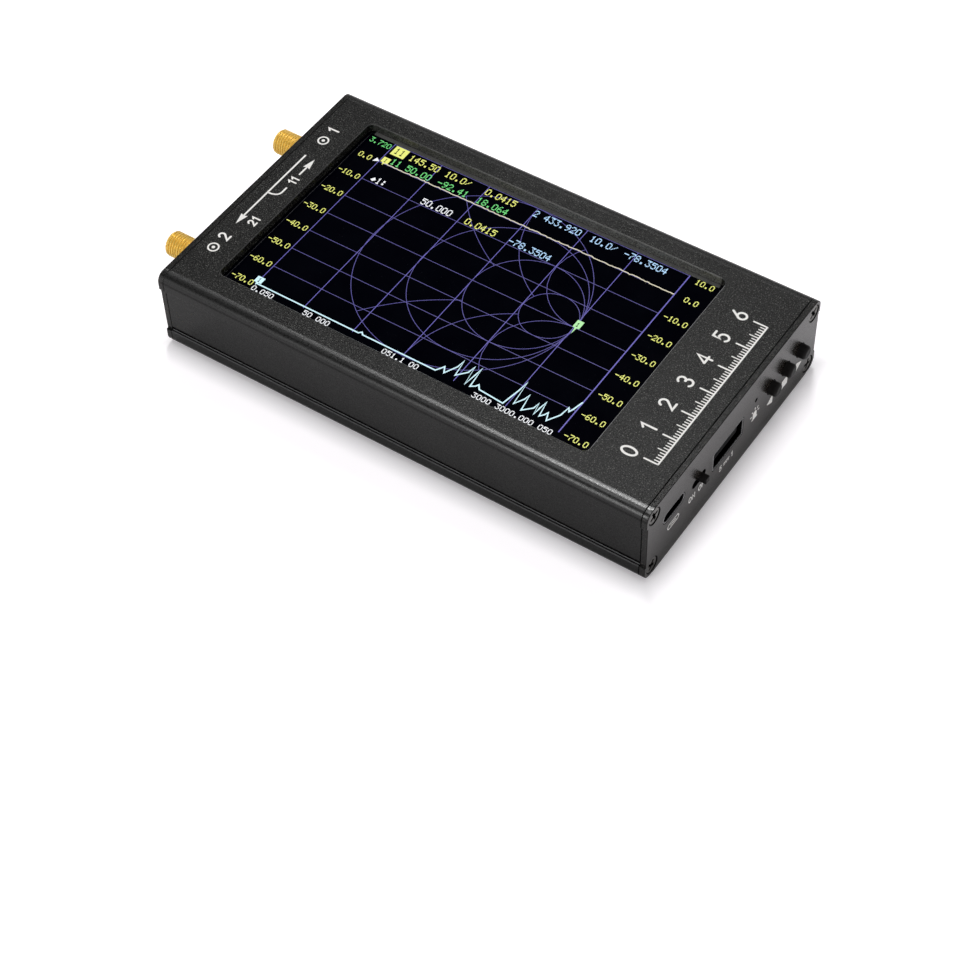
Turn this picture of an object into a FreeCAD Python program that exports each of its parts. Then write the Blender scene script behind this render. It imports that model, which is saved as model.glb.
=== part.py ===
"""Pocket antenna analyzer: an extruded two-part case with a sunken screen, two coaxial jacks at
the port end (-X) and connectors, a slide switch and push buttons at the control end (+X).

Units are millimetres.  +X is the long axis, +Y the width and +Z up.  The origin is the middle of
the face that the case rests on.
"""
import FreeCAD, Part
import math
import os

V = FreeCAD.Vector
X_AXIS = V(1, 0, 0)
TOUCHING = 0.01           # two places nearer than this are on one line
SAME_POINT = 1e-6
SNUG_FIT = 0.05           # clearance of pieces that are pushed together

# ---------------------------------------------------------------- case
LENGTH = 130.0            # over both end panels
WIDTH = 75.0              # over the corner lobes
HEIGHT = 22.3
PANEL_T = 1.5             # end panel thickness
CORNER_R = 2.4            # lengthwise rounding of the corner lobes
SIDE_INSET = 0.5          # side wall lies this far inside the lobes
LOBE_H = 4.45             # height of the upper corner lobes
FOOT_H = 4.75             # top of the lower corner lobes
FOOT_RISE = 0.25          # underside of the lower lobes above the resting face
FOOT_W = 3.25             # width of the lower lobes, up to the step of the resting face
TOP_T = 2.2               # top plate
FLOOR_T = 1.5             # floor plate
WALL_T = 1.8              # side wall
EDGE_R = 0.15             # small rounding of the lobe edges

# seam between the two shells, from outside in: lobe lip, groove, bead, gap, wall foot, tongue
LIP_W = 0.3
GROOVE_W = 0.3
GROOVE_DEPTH = 0.85
BEAD_W = 0.25
BEAD_RISE = 0.1           # bead top above the lobe's top
SEAT_DROP = 0.45          # the wall foot stands this far below the lobe's top
FOOT_GAP = 0.35           # between bead and wall foot
WALL_EDGE_RISE = 1.05     # lower edge of the outer wall above the lobe's top
TONGUE_W = 0.8
TONGUE_H = 2.0            # above the seat
SHELL_FIT = 0.1           # tongue to inner wall

# ---------------------------------------------------------------- screen
WINDOW_REAR = 11.2        # margins of the opening in the top face
WINDOW_FRONT = 20.1
WINDOW_NEAR = 8.3         # on the -Y side
WINDOW_FAR = 6.9
WINDOW_R = 1.6
WINDOW_CHAMFER = 0.25
GLASS_LAP = 2.15          # touch glass beyond the opening, at its ends
GLASS_SIDE_GAP = 0.3      # touch glass to the screw channels
GLASS_T = 1.1
GASKET_T = 0.3
GASKET_SETBACK = 0.3      # gasket's inner edge behind the opening's edge
CELL_T = 1.3
CELL_INSET = 1.0          # picture cell smaller than the glass, each side
TRAY_DEPTH = 3.0          # backlight tray below the glass
TRAY_T = 0.25
GUIDE_T = 1.2
DISPLAY_FIT = 0.1
PAD_SIZE = 7.0            # foam pads between tray and board
PAD_INSET = 4.0
RIBBON_W = 20.0
RIBBON_T = 0.2
RIBBON_Y = 17.0
RIBBON_BEND_R = 0.8
RIBBON_INSERT = 1.2
FPC_L = 4.5               # ribbon connector, along X
FPC_H = 1.2
FPC_MARGIN = 1.6          # connector wider than the ribbon, each side
FPC_GAP = 2.05            # connector to the button leads

# ---------------------------------------------------------------- main board
BOARD_T = 1.6
BOARD_DROP = 8.65         # board's middle below the top face
BOARD_SIDE_GAP = 0.15     # to the side walls
BOARD_FRONT_GAP = 1.2     # to the front panel
NOTCH_GAP = 0.12          # board notch round a connector
RAIL_W = 1.3              # rails inside the side walls that hold the board
RAIL_T = 1.0
LEAD_T = 0.2              # terminals lying on the board
LEAD_W = 0.7
LEAD_L = 1.5

# chips under the board: name, distance, centre y, length, width, height
# distance of a chip's centre in front of the shield cans
DIGITAL_CHIPS = (
    ("processor", 19.0, 12.0, 14.0, 14.0, 1.4),
    ("memory", 37.0, 15.0, 8.0, 6.0, 1.0),
    ("logic", 19.0, -9.0, 12.0, 12.0, 1.2),
)
# distance of a chip's centre behind the board's front edge
POWER_CHIPS = (
    ("charger", 26.3, -16.0, 4.0, 4.0, 0.9),
    ("converter", 34.3, -4.0, 5.0, 5.0, 1.0),
)
INDUCTOR = 6.0            # square power inductors
INDUCTOR_H = 3.0
INDUCTOR_SETBACKS = (34.3, 24.3)
INDUCTOR_Y = -25.0
CRYSTAL_L = 7.0
CRYSTAL_W = 5.0
CRYSTAL_H = 1.7
CRYSTAL_REACH = 7.0       # its centre in front of the shield cans
CAN_L = 38.0              # radio shield cans behind the jacks
CAN_W = 26.0
CAN_H = 2.8
CAN_T = 0.2
CAN_SETBACK = 3.4         # behind the jacks' legs
CAN_GAP = 5.2             # between the cans

# ---------------------------------------------------------------- battery
CELL_LEN = 90.0
CELL_SIDE_GAP = 2.2       # to the screw channels
CELL_HEADROOM = 1.85      # below the tallest inductor
CELL_FRONT_GAP = 17.5     # to the front panel, for leads and plug
CELL_EDGE_R = 1.5
PAD_T = 0.5
PAD_W = 12.0
WIRE_D = 1.3
WIRE_PITCH = 2.0
WIRE_R = 1.2
WIRE_REACH = 5.5          # from the cell's end to where the leads turn up to the plug
PLUG_W = 6.0              # across the leads
PLUG_L = 3.4
PLUG_H = 3.0
SOCKET_WALL = 0.5
SOCKET_H = 3.8
SOCKET_GAP = 4.42         # to the USB-A shell

# ---------------------------------------------------------------- coaxial jacks (port end)
PORT_PITCH = 41.8
THREAD_D = 6.35           # outside of the thread
JACK_REACH = 10.0         # beyond the rear panel
JACK_CHAMFER = 0.4
NECK_DEPTH = 0.23         # thread's outside to its pitch line, where barrel and nut meet
NECK_LEAD = 0.1           # free barrel between thread and nut
JACK_BORE_D = 4.6
JACK_BORE_DEPTH = 1.95
INSULATOR_D = 4.1
CONTACT_D = 1.27
CONTACT_HOLE_D = 0.94
CONTACT_HOLE_DEPTH = 3.0
PIN_D = 0.76
PIN_L = 2.2               # on the board
PANEL_HOLE_FIT = 0.075
FLANGE_T = 1.6
FLANGE_SIZE = 8.6
FLANGE_R = 0.5
LEG_W = 1.0
LEG_L = 3.5
LEG_SPREAD = 5.4          # between leg centres
WASHER_T = 0.4
WASHER_D = 8.6
NUT_T = 1.7
NUT_AF = 8.0              # across the flats
THREAD_FIT = 0.02

# ---------------------------------------------------------------- control end, from -Y to +Y
USB_C_EDGE = 4.63         # from the inner side wall to the USB-C shell
PORT_GAP = 1.725          # USB-C to switch, and switch to USB-A
LED_SHIFT = 0.64          # status light's axis off the middle between USB-A and buttons
BUTTON_EDGE = 2.85        # last button body to the inner side wall

USB_C_W = 8.94
USB_C_H = 3.26
USB_C_L = 7.4
USB_C_WALL = 0.3
USB_C_TONGUE_W = 6.69
USB_C_TONGUE_T = 0.7
USB_C_TONGUE_R = 0.2
USB_C_TONGUE_SETBACK = 0.7
USB_C_BLOCK_L = 1.2
USB_C_PIN_PITCH = 0.5
USB_C_PIN_W = 0.25
USB_C_PIN_T = 0.04
USB_C_PIN_L = 3.2
USB_C_PINS = 12
USB_TAB_L = 1.4           # shell tabs soldered to the board
USB_TAB_W = 1.2
USB_TAB_T = 0.15          # of a tab's foot inside the shell's wall
SHELL_HOLE_FIT = 0.08

USB_A_W = 13.1
USB_A_H = 5.7
USB_A_L = 13.8
USB_A_WALL = 0.3
USB_A_R = 0.5
USB_A_RISE = 0.04         # shell's top above the board
USB_A_TONGUE_W = 11.1
USB_A_TONGUE_T = 1.84
USB_A_TONGUE_LIFT = 0.9   # above the shell's inner floor
USB_A_TONGUE_SETBACK = 0.9
USB_A_BLOCK_L = 2.4
USB_A_PIN_W = 1.0
USB_A_PIN_T = 0.2
USB_A_PIN_L = 7.5
USB_A_PIN_YS = (-3.5, -1.0, 1.0, 3.5)
USB_A_SPRING_W = 2.0
USB_A_SPRING_L = 5.0
USB_A_SPRING_TIP = 1.25   # flared end of a spring finger
USB_A_SPRING_SETBACK = 1.95
USB_A_SPRING_T = 0.25
USB_A_SPRING_DIP = 0.55
USB_A_SPRING_PITCH = 5.6

SWITCH_DROP = 0.99        # switch axis below the board's middle
SWITCH_TRAVEL = 1.5
SLOT_END_GAP = 1.25       # slot in the panel beyond the knob's travel, each end
SLOT_FIT = 0.25           # slot to knob, above and below
KNOB_W = 1.6              # along the slot
KNOB_H = 1.7
KNOB_REACH = 1.8          # beyond the front panel
KNOB_R = 0.25
FRAME_W = 8.6
FRAME_H = 3.5
FRAME_L = 3.8
FRAME_T = 0.25
FRAME_GAP = 0.8           # frame to front panel
BASE_T = 0.5
SLIDER_W = 4.6
SLIDER_T = 1.6
SLIDE_FIT = 0.1
SWITCH_LEADS = 3
SWITCH_LEAD_PITCH = 2.5

BUTTON_NAMES = ("left", "centre", "right")
BUTTON_DROP = 1.42        # button axis below the board's middle
BUTTON_PITCH = 6.62
BUTTON_SPACING = 0.62     # between button bodies
BUTTON_D = 3.4
BUTTON_FIT = 0.165        # to the hole in the panel
BUTTON_REACH = 2.0        # beyond the front panel
BUTTON_TIP_R = 0.7
BUTTON_TRAVEL = 0.25
BODY_L = 3.3              # along X
BODY_GAP = 1.4            # cover plate to front panel
BODY_WALL = 0.45
BODY_BACK_T = 0.7
BODY_R = 0.3
COVER_T = 0.2
COVER_FIT = 0.05
RIM_SIDE_GAP = 0.2        # plunger's rim inside the body
RIM_T = 0.8
RIM_FIT = 0.1
NUB_D = 1.6
DOME_SIDE_GAP = 0.15
DOME_LEFT = 0.35          # of the dome's rise when its button is pressed
DOME_T = 0.08
DOME_GAP = 0.05
BUTTON_LEAD_SPREAD = 3.0

LED_HOLE_D = 1.0
LED_W = 0.8
LED_L = 1.0
LED_H = 0.6
LED_LENS_D = 0.5
LED_LENS_L = 0.2

# ---------------------------------------------------------------- screws
SCREW_INSET_Y = 3.1       # from the lobes' sides
SCREW_INSET_Z = 2.7       # from the lobes' top or bottom
SCREW_D = 2.44
SCREW_FIT = 0.03          # shank in its channel
SCREW_L = 8.0
SCREW_POINT = 0.6         # chamfer of the shank's end
PANEL_SCREW_FIT = 0.13    # shank in the panel
HEAD_D = 3.96
SINK_MARGIN = 0.32        # countersink's mouth round the head
HEAD_RIM = 0.12
HEAD_FIT = 0.02
CROSS_SPAN = 3.0
CROSS_W = 0.8
CROSS_DEPTH = 1.5
CROSS_TURN = 37.0         # each screw stopped at another angle
BOSS_WALL = 0.95          # round the screw channels

# ---------------------------------------------------------------- places worked out from the sizes
half_w = WIDTH / 2
wall_y = half_w - SIDE_INSET
inner_y = wall_y - WALL_T
front_x = LENGTH / 2
shell_x = front_x - PANEL_T
top_under = HEIGHT - TOP_T
lobe_z = HEIGHT - LOBE_H
seat_z = FOOT_H - SEAT_DROP
tongue_y = inner_y - SHELL_FIT

screw_hole_d = SCREW_D + 2 * SCREW_FIT
panel_hole_d = SCREW_D + 2 * PANEL_SCREW_FIT
sink_d = HEAD_D + 2 * SINK_MARGIN
screw_y = half_w - SCREW_INSET_Y
screw_top_z = HEIGHT - SCREW_INSET_Z
screw_low_z = FOOT_RISE + SCREW_INSET_Z
boss_r = screw_hole_d / 2 + BOSS_WALL
boss_y = screw_y - boss_r

window_l = LENGTH - WINDOW_REAR - WINDOW_FRONT
window_w = WIDTH - WINDOW_NEAR - WINDOW_FAR
window_x = (WINDOW_REAR - WINDOW_FRONT) / 2
window_y = (WINDOW_NEAR - WINDOW_FAR) / 2

board_mid_z = HEIGHT - BOARD_DROP
board_top = board_mid_z + BOARD_T / 2
board_low = board_mid_z - BOARD_T / 2
board_front = shell_x - BOARD_FRONT_GAP
board_rear = -shell_x + FLANGE_T
board_y = inner_y - BOARD_SIDE_GAP

glass_top = top_under - GASKET_T
glass_low = glass_top - GLASS_T
glass_l = window_l + 2 * GLASS_LAP
glass_w = 2 * (boss_y - GLASS_SIDE_GAP)
cell_l = glass_l - 2 * CELL_INSET
cell_w = glass_w - 2 * CELL_INSET
tray_low = glass_low - TRAY_DEPTH

port_ys = (PORT_PITCH / 2, -PORT_PITCH / 2)
jack_tip = -front_x - JACK_REACH
jack_face = jack_tip + JACK_BORE_DEPTH
nut_front = -front_x - WASHER_T - NUT_T
neck_r = THREAD_D / 2 - NECK_DEPTH
can_rear = board_rear + LEG_L + CAN_SETBACK
can_front = can_rear + CAN_L

cell_front = shell_x - CELL_FRONT_GAP
cell_rear = cell_front - CELL_LEN
cell_wide = 2 * (boss_y - CELL_SIDE_GAP)
cell_low = FLOOR_T + PAD_T
cell_top = board_low - INDUCTOR_H - CELL_HEADROOM

usb_c_y = -inner_y + USB_C_EDGE + USB_C_W / 2
switch_y = usb_c_y + USB_C_W / 2 + PORT_GAP + FRAME_W / 2
usb_a_y = switch_y + FRAME_W / 2 + PORT_GAP + USB_A_W / 2
usb_a_edge = usb_a_y + USB_A_W / 2
button_body = BUTTON_PITCH - BUTTON_SPACING
button_bore_r = button_body / 2 - BODY_WALL
last_button_y = inner_y - BUTTON_EDGE - button_body / 2
button_ys = [last_button_y - i * BUTTON_PITCH for i in reversed(range(len(BUTTON_NAMES)))]
button_edge_y = button_ys[0] - button_body / 2
led_y = (usb_a_edge + button_edge_y) / 2 + LED_SHIFT
usb_a_z = board_top + USB_A_RISE - USB_A_H / 2
switch_z = board_mid_z - SWITCH_DROP
button_z = board_mid_z - BUTTON_DROP
led_z = board_top + LED_H / 2

frame_front = shell_x - FRAME_GAP
frame_back = frame_front - FRAME_L
base_back = frame_back - BASE_T
cover_front = shell_x - BODY_GAP
body_front = cover_front - COVER_T
body_back = body_front - BODY_L
dome_rise = BUTTON_TRAVEL + DOME_LEFT
usb_c_back = front_x - USB_C_L
usb_a_back = front_x - USB_A_L

tray_front = window_x + cell_l / 2
fpc_front = body_back - LEAD_L - FPC_GAP
fpc_back = fpc_front - FPC_L
wire_x = cell_front + WIRE_REACH
wire_y = usb_a_y - USB_A_W / 2 - SOCKET_GAP - SOCKET_WALL - PLUG_W / 2


# ---------------------------------------------------------------- shape helpers
def box(x0, x1, y0, y1, z0, z1):
    return Part.makeBox(x1 - x0, y1 - y0, z1 - z0, V(x0, y0, z0))


def rod(radius, x0, x1, y, z):
    """Cylinder along X."""
    return Part.makeCylinder(radius, x1 - x0, V(x0, y, z), X_AXIS)


def taper(r0, r1, x0, x1, y, z):
    """Cone along X, with radius r0 at x0 and r1 at x1."""
    return Part.makeCone(r0, r1, x1 - x0, V(x0, y, z), X_AXIS)


def loop(corners, place):
    """Closed wire through corners (u, v, radius), each rounded with a tangent arc."""
    count = len(corners)
    ends = []
    for i, (u, v, radius) in enumerate(corners):
        here = V(u, v, 0)
        back = (V(*corners[i - 1][:2], 0) - here).normalize()
        ahead = (V(*corners[(i + 1) % count][:2], 0) - here).normalize()
        if radius <= 0:
            ends.append((here, None, here))
            continue
        half = back.getAngle(ahead) / 2
        reach = radius / math.tan(half)
        bisector = (back + ahead).normalize()
        middle = here + bisector * (radius / math.sin(half) - radius)
        ends.append((here + back * reach, middle, here + ahead * reach))
    edges = []
    for i, (start, middle, stop) in enumerate(ends):
        following = ends[(i + 1) % count][0]
        if middle is not None:
            arc = [V(*place(p.x, p.y)) for p in (start, middle, stop)]
            edges.append(Part.Arc(*arc).toShape())
        if stop.distanceToPoint(following) > SAME_POINT:
            line = [V(*place(p.x, p.y)) for p in (stop, following)]
            edges.append(Part.LineSegment(*line).toShape())
    return Part.Wire(edges)


def slab_x(corners, x0, x1):
    """Outline in Y and Z, carried from x0 to x1."""
    wire = loop(corners, lambda u, v: (x0, u, v))
    return Part.Face(wire).extrude(V(x1 - x0, 0, 0))


def slab_z(corners, z0, z1):
    """Outline in X and Y, carried from z0 to z1."""
    wire = loop(corners, lambda u, v: (u, v, z0))
    return Part.Face(wire).extrude(V(0, 0, z1 - z0))


def slab_y(corners, y0, y1):
    """Outline in X and Z, carried from y0 to y1."""
    wire = loop(corners, lambda u, v: (u, y0, v))
    return Part.Face(wire).extrude(V(0, y1 - y0, 0))


def spun(points, y, z):
    """Closed outline (x, radius) turned round the line along X at y, z."""
    wire = Part.makePolygon([V(x, y, z + r) for x, r in points + points[:1]])
    return Part.Face(wire).revolve(V(0, y, z), X_AXIS, 360)


def rectangle(u, v, width, height, radius):
    """Corners of a rounded rectangle centred on u, v."""
    signs = ((1, -1), (1, 1), (-1, 1), (-1, -1))
    return [(u + a * width / 2, v + b * height / 2, radius) for a, b in signs]


def pill(u, v, width, height):
    """Corners of a rectangle whose short ends are half round."""
    return rectangle(u, v, width, height, height / 2)


def mirrored(half):
    """Right half of a section, from the middle round to the middle, and its mirror image."""
    return half + [(-u, v, radius) for u, v, radius in reversed(half)]


def group(solids):
    return Part.makeCompound(solids)


def save(name, shape):
    assert shape.isValid(), name
    shape.exportStep("parts/" + name + ".step")


# ---------------------------------------------------------------- case
def screw_places():
    return [(side * screw_y, z) for side in (1, -1) for z in (screw_top_z, screw_low_z)]


def bored(shape, places, diameter):
    """The shape with round holes along its whole length."""
    holes = [rod(diameter / 2, -front_x, front_x, y, z) for y, z in places]
    return shape.cut(holes)


def top_shell():
    """Top plate, side walls, upper lobes, screw channels and the rails that hold the board."""
    wall_edge_z = FOOT_H + WALL_EDGE_RISE
    foot_y = half_w - LIP_W - GROOVE_W - BEAD_W - FOOT_GAP
    rail_y = inner_y - RAIL_W
    slot_low = board_low - SNUG_FIT
    slot_top = board_top + SNUG_FIT
    channel_z = screw_top_z - boss_r
    half = [
        (half_w, HEIGHT, CORNER_R),
        (half_w, lobe_z, EDGE_R),
        (wall_y, lobe_z, 0),
        (wall_y, wall_edge_z, EDGE_R),
        (foot_y, wall_edge_z, 0),
        (foot_y, seat_z, 0),
        (inner_y, seat_z, 0),
        (inner_y, slot_low - RAIL_T, 0),
        (rail_y, slot_low - RAIL_T, 0),
        (rail_y, slot_low, 0),
        (inner_y, slot_low, 0),
        (inner_y, slot_top, 0),
        (rail_y, slot_top, 0),
        (rail_y, slot_top + RAIL_T, 0),
        (inner_y, slot_top + RAIL_T, 0),
        (inner_y, channel_z, 0),
        (boss_y, channel_z, 0),
        (boss_y, top_under, 0),
    ]
    shell = slab_x(mirrored(half), -shell_x, shell_x)
    shell = bored(shell, screw_places()[::2], screw_hole_d)
    outline = rectangle(window_x, window_y, window_l, window_w, WINDOW_R)
    window = slab_z(outline, top_under, HEIGHT)
    shell = shell.cut(window)
    rim = [e for e in shell.Edges if on_window_rim(e)]
    return shell.makeChamfer(WINDOW_CHAMFER, rim)


def on_window_rim(edge):
    """True for the edges of the opening that lie in the top face."""
    size = edge.BoundBox
    near_x = abs(size.Center.x - window_x) < window_l / 2 + TOUCHING
    near_y = abs(size.Center.y - window_y) < window_w / 2 + TOUCHING
    return near_x and near_y and size.ZMin > HEIGHT - TOUCHING


def bottom_shell():
    """Floor, lower lobes with their lip, groove and bead, screw channels and the tongue."""
    lip_y = half_w - LIP_W
    bead_out = lip_y - GROOVE_W
    bead_in = bead_out - BEAD_W
    tongue_in = tongue_y - TONGUE_W
    channel_z = screw_low_z + boss_r
    half = [
        (half_w - FOOT_W - FOOT_RISE, 0, 0),
        (half_w - FOOT_W, FOOT_RISE, 0),
        (half_w, FOOT_RISE, CORNER_R),
        (half_w, FOOT_H, EDGE_R / 2),
        (lip_y, FOOT_H, 0),
        (lip_y, FOOT_H - GROOVE_DEPTH, 0),
        (bead_out, FOOT_H - GROOVE_DEPTH, 0),
        (bead_out, FOOT_H + BEAD_RISE, 0),
        (bead_in, FOOT_H + BEAD_RISE, 0),
        (bead_in, seat_z, 0),
        (tongue_y, seat_z, 0),
        (tongue_y, seat_z + TONGUE_H, 0),
        (tongue_in, seat_z + TONGUE_H, 0),
        (tongue_in, channel_z, 0),
        (boss_y, channel_z, 0),
        (boss_y, FLOOR_T, 0),
    ]
    shell = slab_x(mirrored(half), -shell_x, shell_x)
    return bored(shell, screw_places()[1::2], screw_hole_d)


def end_panel(x0):
    """Plate with the outline of the closed case, bored and countersunk at its four corners."""
    half = [
        (half_w - FOOT_W - FOOT_RISE, 0, 0),
        (half_w - FOOT_W, FOOT_RISE, 0),
        (half_w, FOOT_RISE, CORNER_R),
        (half_w, FOOT_H, EDGE_R),
        (wall_y, FOOT_H, 0),
        (wall_y, lobe_z, 0),
        (half_w, lobe_z, EDGE_R),
        (half_w, HEIGHT, CORNER_R),
    ]
    panel = slab_x(mirrored(half), x0, x0 + PANEL_T)
    panel = bored(panel, screw_places(), panel_hole_d)
    outward = 1 if x0 > 0 else -1
    depth = (sink_d - panel_hole_d) / 2
    cones = []
    for y, z in screw_places():
        cone = Part.makeCone(panel_hole_d / 2, sink_d / 2, depth,
                             V(outward * (front_x - depth), y, z), X_AXIS * outward)
        cones.append(cone)
    return panel.cut(cones)


def front_panel():
    """Control end: openings for the connectors, switch, status light and buttons."""
    x0, x1 = shell_x, front_x
    fit = 2 * SHELL_HOLE_FIT
    slot_l = KNOB_W + SWITCH_TRAVEL + 2 * SLOT_END_GAP
    slot_h = KNOB_H + 2 * SLOT_FIT
    button_hole_r = BUTTON_D / 2 + BUTTON_FIT
    cuts = [
        slab_x(pill(usb_c_y, board_mid_z, USB_C_W + fit, USB_C_H + fit), x0, x1),
        slab_x(pill(switch_y, switch_z, slot_l, slot_h), x0, x1),
        slab_x(rectangle(usb_a_y, usb_a_z, USB_A_W + fit, USB_A_H + fit, USB_A_R), x0, x1),
        rod(LED_HOLE_D / 2, x0, x1, led_y, led_z),
    ]
    cuts += [rod(button_hole_r, x0, x1, y, button_z) for y in button_ys]
    return end_panel(x0).cut(cuts)


def rear_panel():
    """Port end: one round hole for each jack."""
    radius = THREAD_D / 2 + PANEL_HOLE_FIT
    holes = [rod(radius, -front_x, -shell_x, y, board_mid_z) for y in port_ys]
    return end_panel(-front_x).cut(holes)


def screw(y, z, outward, turn):
    """Countersunk screw with a cross recess; its head lies in the cone of the panel."""
    face = front_x - (sink_d - HEAD_D) / 2 + HEAD_RIM + HEAD_FIT
    cone_end = face - HEAD_RIM - (HEAD_D - SCREW_D) / 2
    profile = [
        (face, 0),
        (face, HEAD_D / 2),
        (face - HEAD_RIM, HEAD_D / 2),
        (cone_end, SCREW_D / 2),
        (face - SCREW_L, SCREW_D / 2),
        (face - SCREW_L - SCREW_POINT, SCREW_D / 2 - SCREW_POINT),
        (face - SCREW_L - SCREW_POINT, 0),
    ]
    body = spun(profile, y, z)
    arm, span = CROSS_W / 2, CROSS_SPAN / 2
    deep = face - CROSS_DEPTH
    cross = box(deep, face, y - span, y + span, z - arm, z + arm)
    cross = cross.fuse(box(deep, face, y - arm, y + arm, z - span, z + span))
    cross = cross.common(taper(arm, span, deep, face, y, z))
    cross.rotate(V(0, y, z), X_AXIS, turn)
    body = body.cut(cross)
    if outward < 0:
        body.rotate(V(0, 0, 0), V(0, 0, 1), 180)
    return body


def screws(outward):
    places = screw_places()
    return group([screw(y, z, outward, (i + 1) * CROSS_TURN) for i, (y, z) in enumerate(places)])


# ---------------------------------------------------------------- display
def pane(length, width, radius, z0, z1):
    """Rounded plate behind the screen opening, centred between the screw channels."""
    return slab_z(rectangle(window_x, 0, length, width, radius), z0, z1)


def touch_glass():
    return pane(glass_l, glass_w, WINDOW_R, glass_low, glass_top)


def display_gasket():
    outer = pane(glass_l, glass_w, WINDOW_R, glass_top, top_under)
    opening_l = window_l + 2 * GASKET_SETBACK
    opening_w = window_w + 2 * GASKET_SETBACK
    outline = rectangle(window_x, window_y, opening_l, opening_w, WINDOW_R)
    return outer.cut(slab_z(outline, glass_top, top_under))


def lcd_cell():
    return pane(cell_l, cell_w, WINDOW_R / 2, glass_low - CELL_T, glass_low)


def light_guide():
    edge = 2 * (TRAY_T + DISPLAY_FIT)
    low = tray_low + TRAY_T
    return pane(cell_l - edge, cell_w - edge, WINDOW_R / 2, low, low + GUIDE_T)


def backlight_tray():
    """Sheet-steel tray: its rim carries the picture cell, its floor the light guide."""
    outer = pane(cell_l, cell_w, WINDOW_R / 2, tray_low, glass_low - CELL_T)
    inside = pane(cell_l - 2 * TRAY_T, cell_w - 2 * TRAY_T, WINDOW_R / 2,
                  tray_low + TRAY_T, glass_low - CELL_T)
    return outer.cut(inside)


def display_pads():
    """Foam pads that press the tray up against the glass."""
    reach_x = cell_l / 2 - PAD_INSET - PAD_SIZE / 2
    reach_y = cell_w / 2 - PAD_INSET - PAD_SIZE / 2
    half = PAD_SIZE / 2
    pads = []
    for a in (1, -1):
        for b in (1, -1):
            x, y = window_x + a * reach_x, b * reach_y
            pads.append(box(x - half, x + half, y - half, y + half, board_top, tray_low))
    return group(pads)


def display_ribbon():
    """Flat ribbon from the tray's end down into the connector on the board."""
    x0, x1 = tray_front, fpc_back
    high = tray_low + RIBBON_T
    low = board_top + FPC_H / 2 - RIBBON_T / 2
    step = (x1 - x0) / 3
    outer, inner = RIBBON_BEND_R + RIBBON_T, RIBBON_BEND_R
    corners = [
        (x0, high, 0),
        (x0 + step, high, inner),
        (x0 + 2 * step, low, outer),
        (x1 + RIBBON_INSERT, low, 0),
        (x1 + RIBBON_INSERT, low + RIBBON_T, 0),
        (x0 + 2 * step, low + RIBBON_T, inner),
        (x0 + step, high + RIBBON_T, outer),
        (x0, high + RIBBON_T, 0),
    ]
    return slab_y(corners, RIBBON_Y - RIBBON_W / 2, RIBBON_Y + RIBBON_W / 2)


def ribbon_connector():
    x0 = fpc_back
    half = RIBBON_W / 2 + FPC_MARGIN
    middle = board_top + FPC_H / 2
    block = box(x0, fpc_front, RIBBON_Y - half, RIBBON_Y + half, board_top, board_top + FPC_H)
    slot_w = RIBBON_W / 2 + SNUG_FIT
    slot_t = RIBBON_T / 2 + SNUG_FIT / 2
    slot = box(x0, x0 + RIBBON_INSERT + SNUG_FIT, RIBBON_Y - slot_w, RIBBON_Y + slot_w,
               middle - slot_t, middle + slot_t)
    return block.cut(slot)


# ---------------------------------------------------------------- main board
def main_board():
    """Board held in the side rails, notched round the parts that sit in its front edge."""
    middle_x = (board_front + board_rear) / 2
    length = board_front - board_rear
    board = slab_z(rectangle(middle_x, 0, length, 2 * board_y, 0), board_low, board_top)
    last, first = button_ys[-1], button_ys[0]
    notches = [
        (usb_c_back, usb_c_y, USB_C_W),
        (base_back, switch_y, FRAME_W),
        (usb_a_back, usb_a_y, USB_A_W),
        (body_back, (first + last) / 2, last - first + button_body),
    ]
    cuts = []
    for back, y, width in notches:
        half = width / 2 + NOTCH_GAP
        cuts.append(box(back - NOTCH_GAP, board_front, y - half, y + half, board_low, board_top))
    for y in port_ys:
        half = PIN_D / 2 + SNUG_FIT
        cuts.append(box(board_rear, board_rear + PIN_L + SNUG_FIT, y - half, y + half,
                        board_low, board_top))
    return board.cut(cuts)


def under_board(x, y, length, width, height):
    """Block soldered to the underside of the board."""
    return box(x - length / 2, x + length / 2, y - width / 2, y + width / 2,
               board_low - height, board_low)


def board_chips():
    chips = [under_board(can_front + row[1], *row[2:]) for row in DIGITAL_CHIPS]
    return group(chips + [under_board(board_front - row[1], *row[2:]) for row in POWER_CHIPS])


def power_inductors():
    return group([under_board(board_front - setback, INDUCTOR_Y, INDUCTOR, INDUCTOR, INDUCTOR_H)
                  for setback in INDUCTOR_SETBACKS])


def reference_crystal():
    return under_board(can_front + CRYSTAL_REACH, 0, CRYSTAL_L, CRYSTAL_W, CRYSTAL_H)


def rf_shields():
    """Thin cans over the radio circuits, one behind each jack."""
    cans = []
    x = (can_rear + can_front) / 2
    for side in (1, -1):
        y = side * (CAN_W + CAN_GAP) / 2
        outside = under_board(x, y, CAN_L, CAN_W, CAN_H)
        inside = under_board(x, y, CAN_L - 2 * CAN_T, CAN_W - 2 * CAN_T, CAN_H - CAN_T)
        cans.append(outside.cut(inside))
    return group(cans)


# ---------------------------------------------------------------- battery
def battery_cell():
    height = cell_top - cell_low
    corners = rectangle(0, cell_low + height / 2, cell_wide, height, CELL_EDGE_R)
    return slab_x(corners, cell_rear, cell_front)


def battery_pads():
    offset = cell_wide / 4
    return group([box(cell_rear + PAD_W / 2, cell_front - PAD_W / 2,
                      y - PAD_W / 2, y + PAD_W / 2, FLOOR_T, cell_low)
                  for y in (-offset, offset)])


def socket_floor():
    return board_low - SOCKET_H


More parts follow.
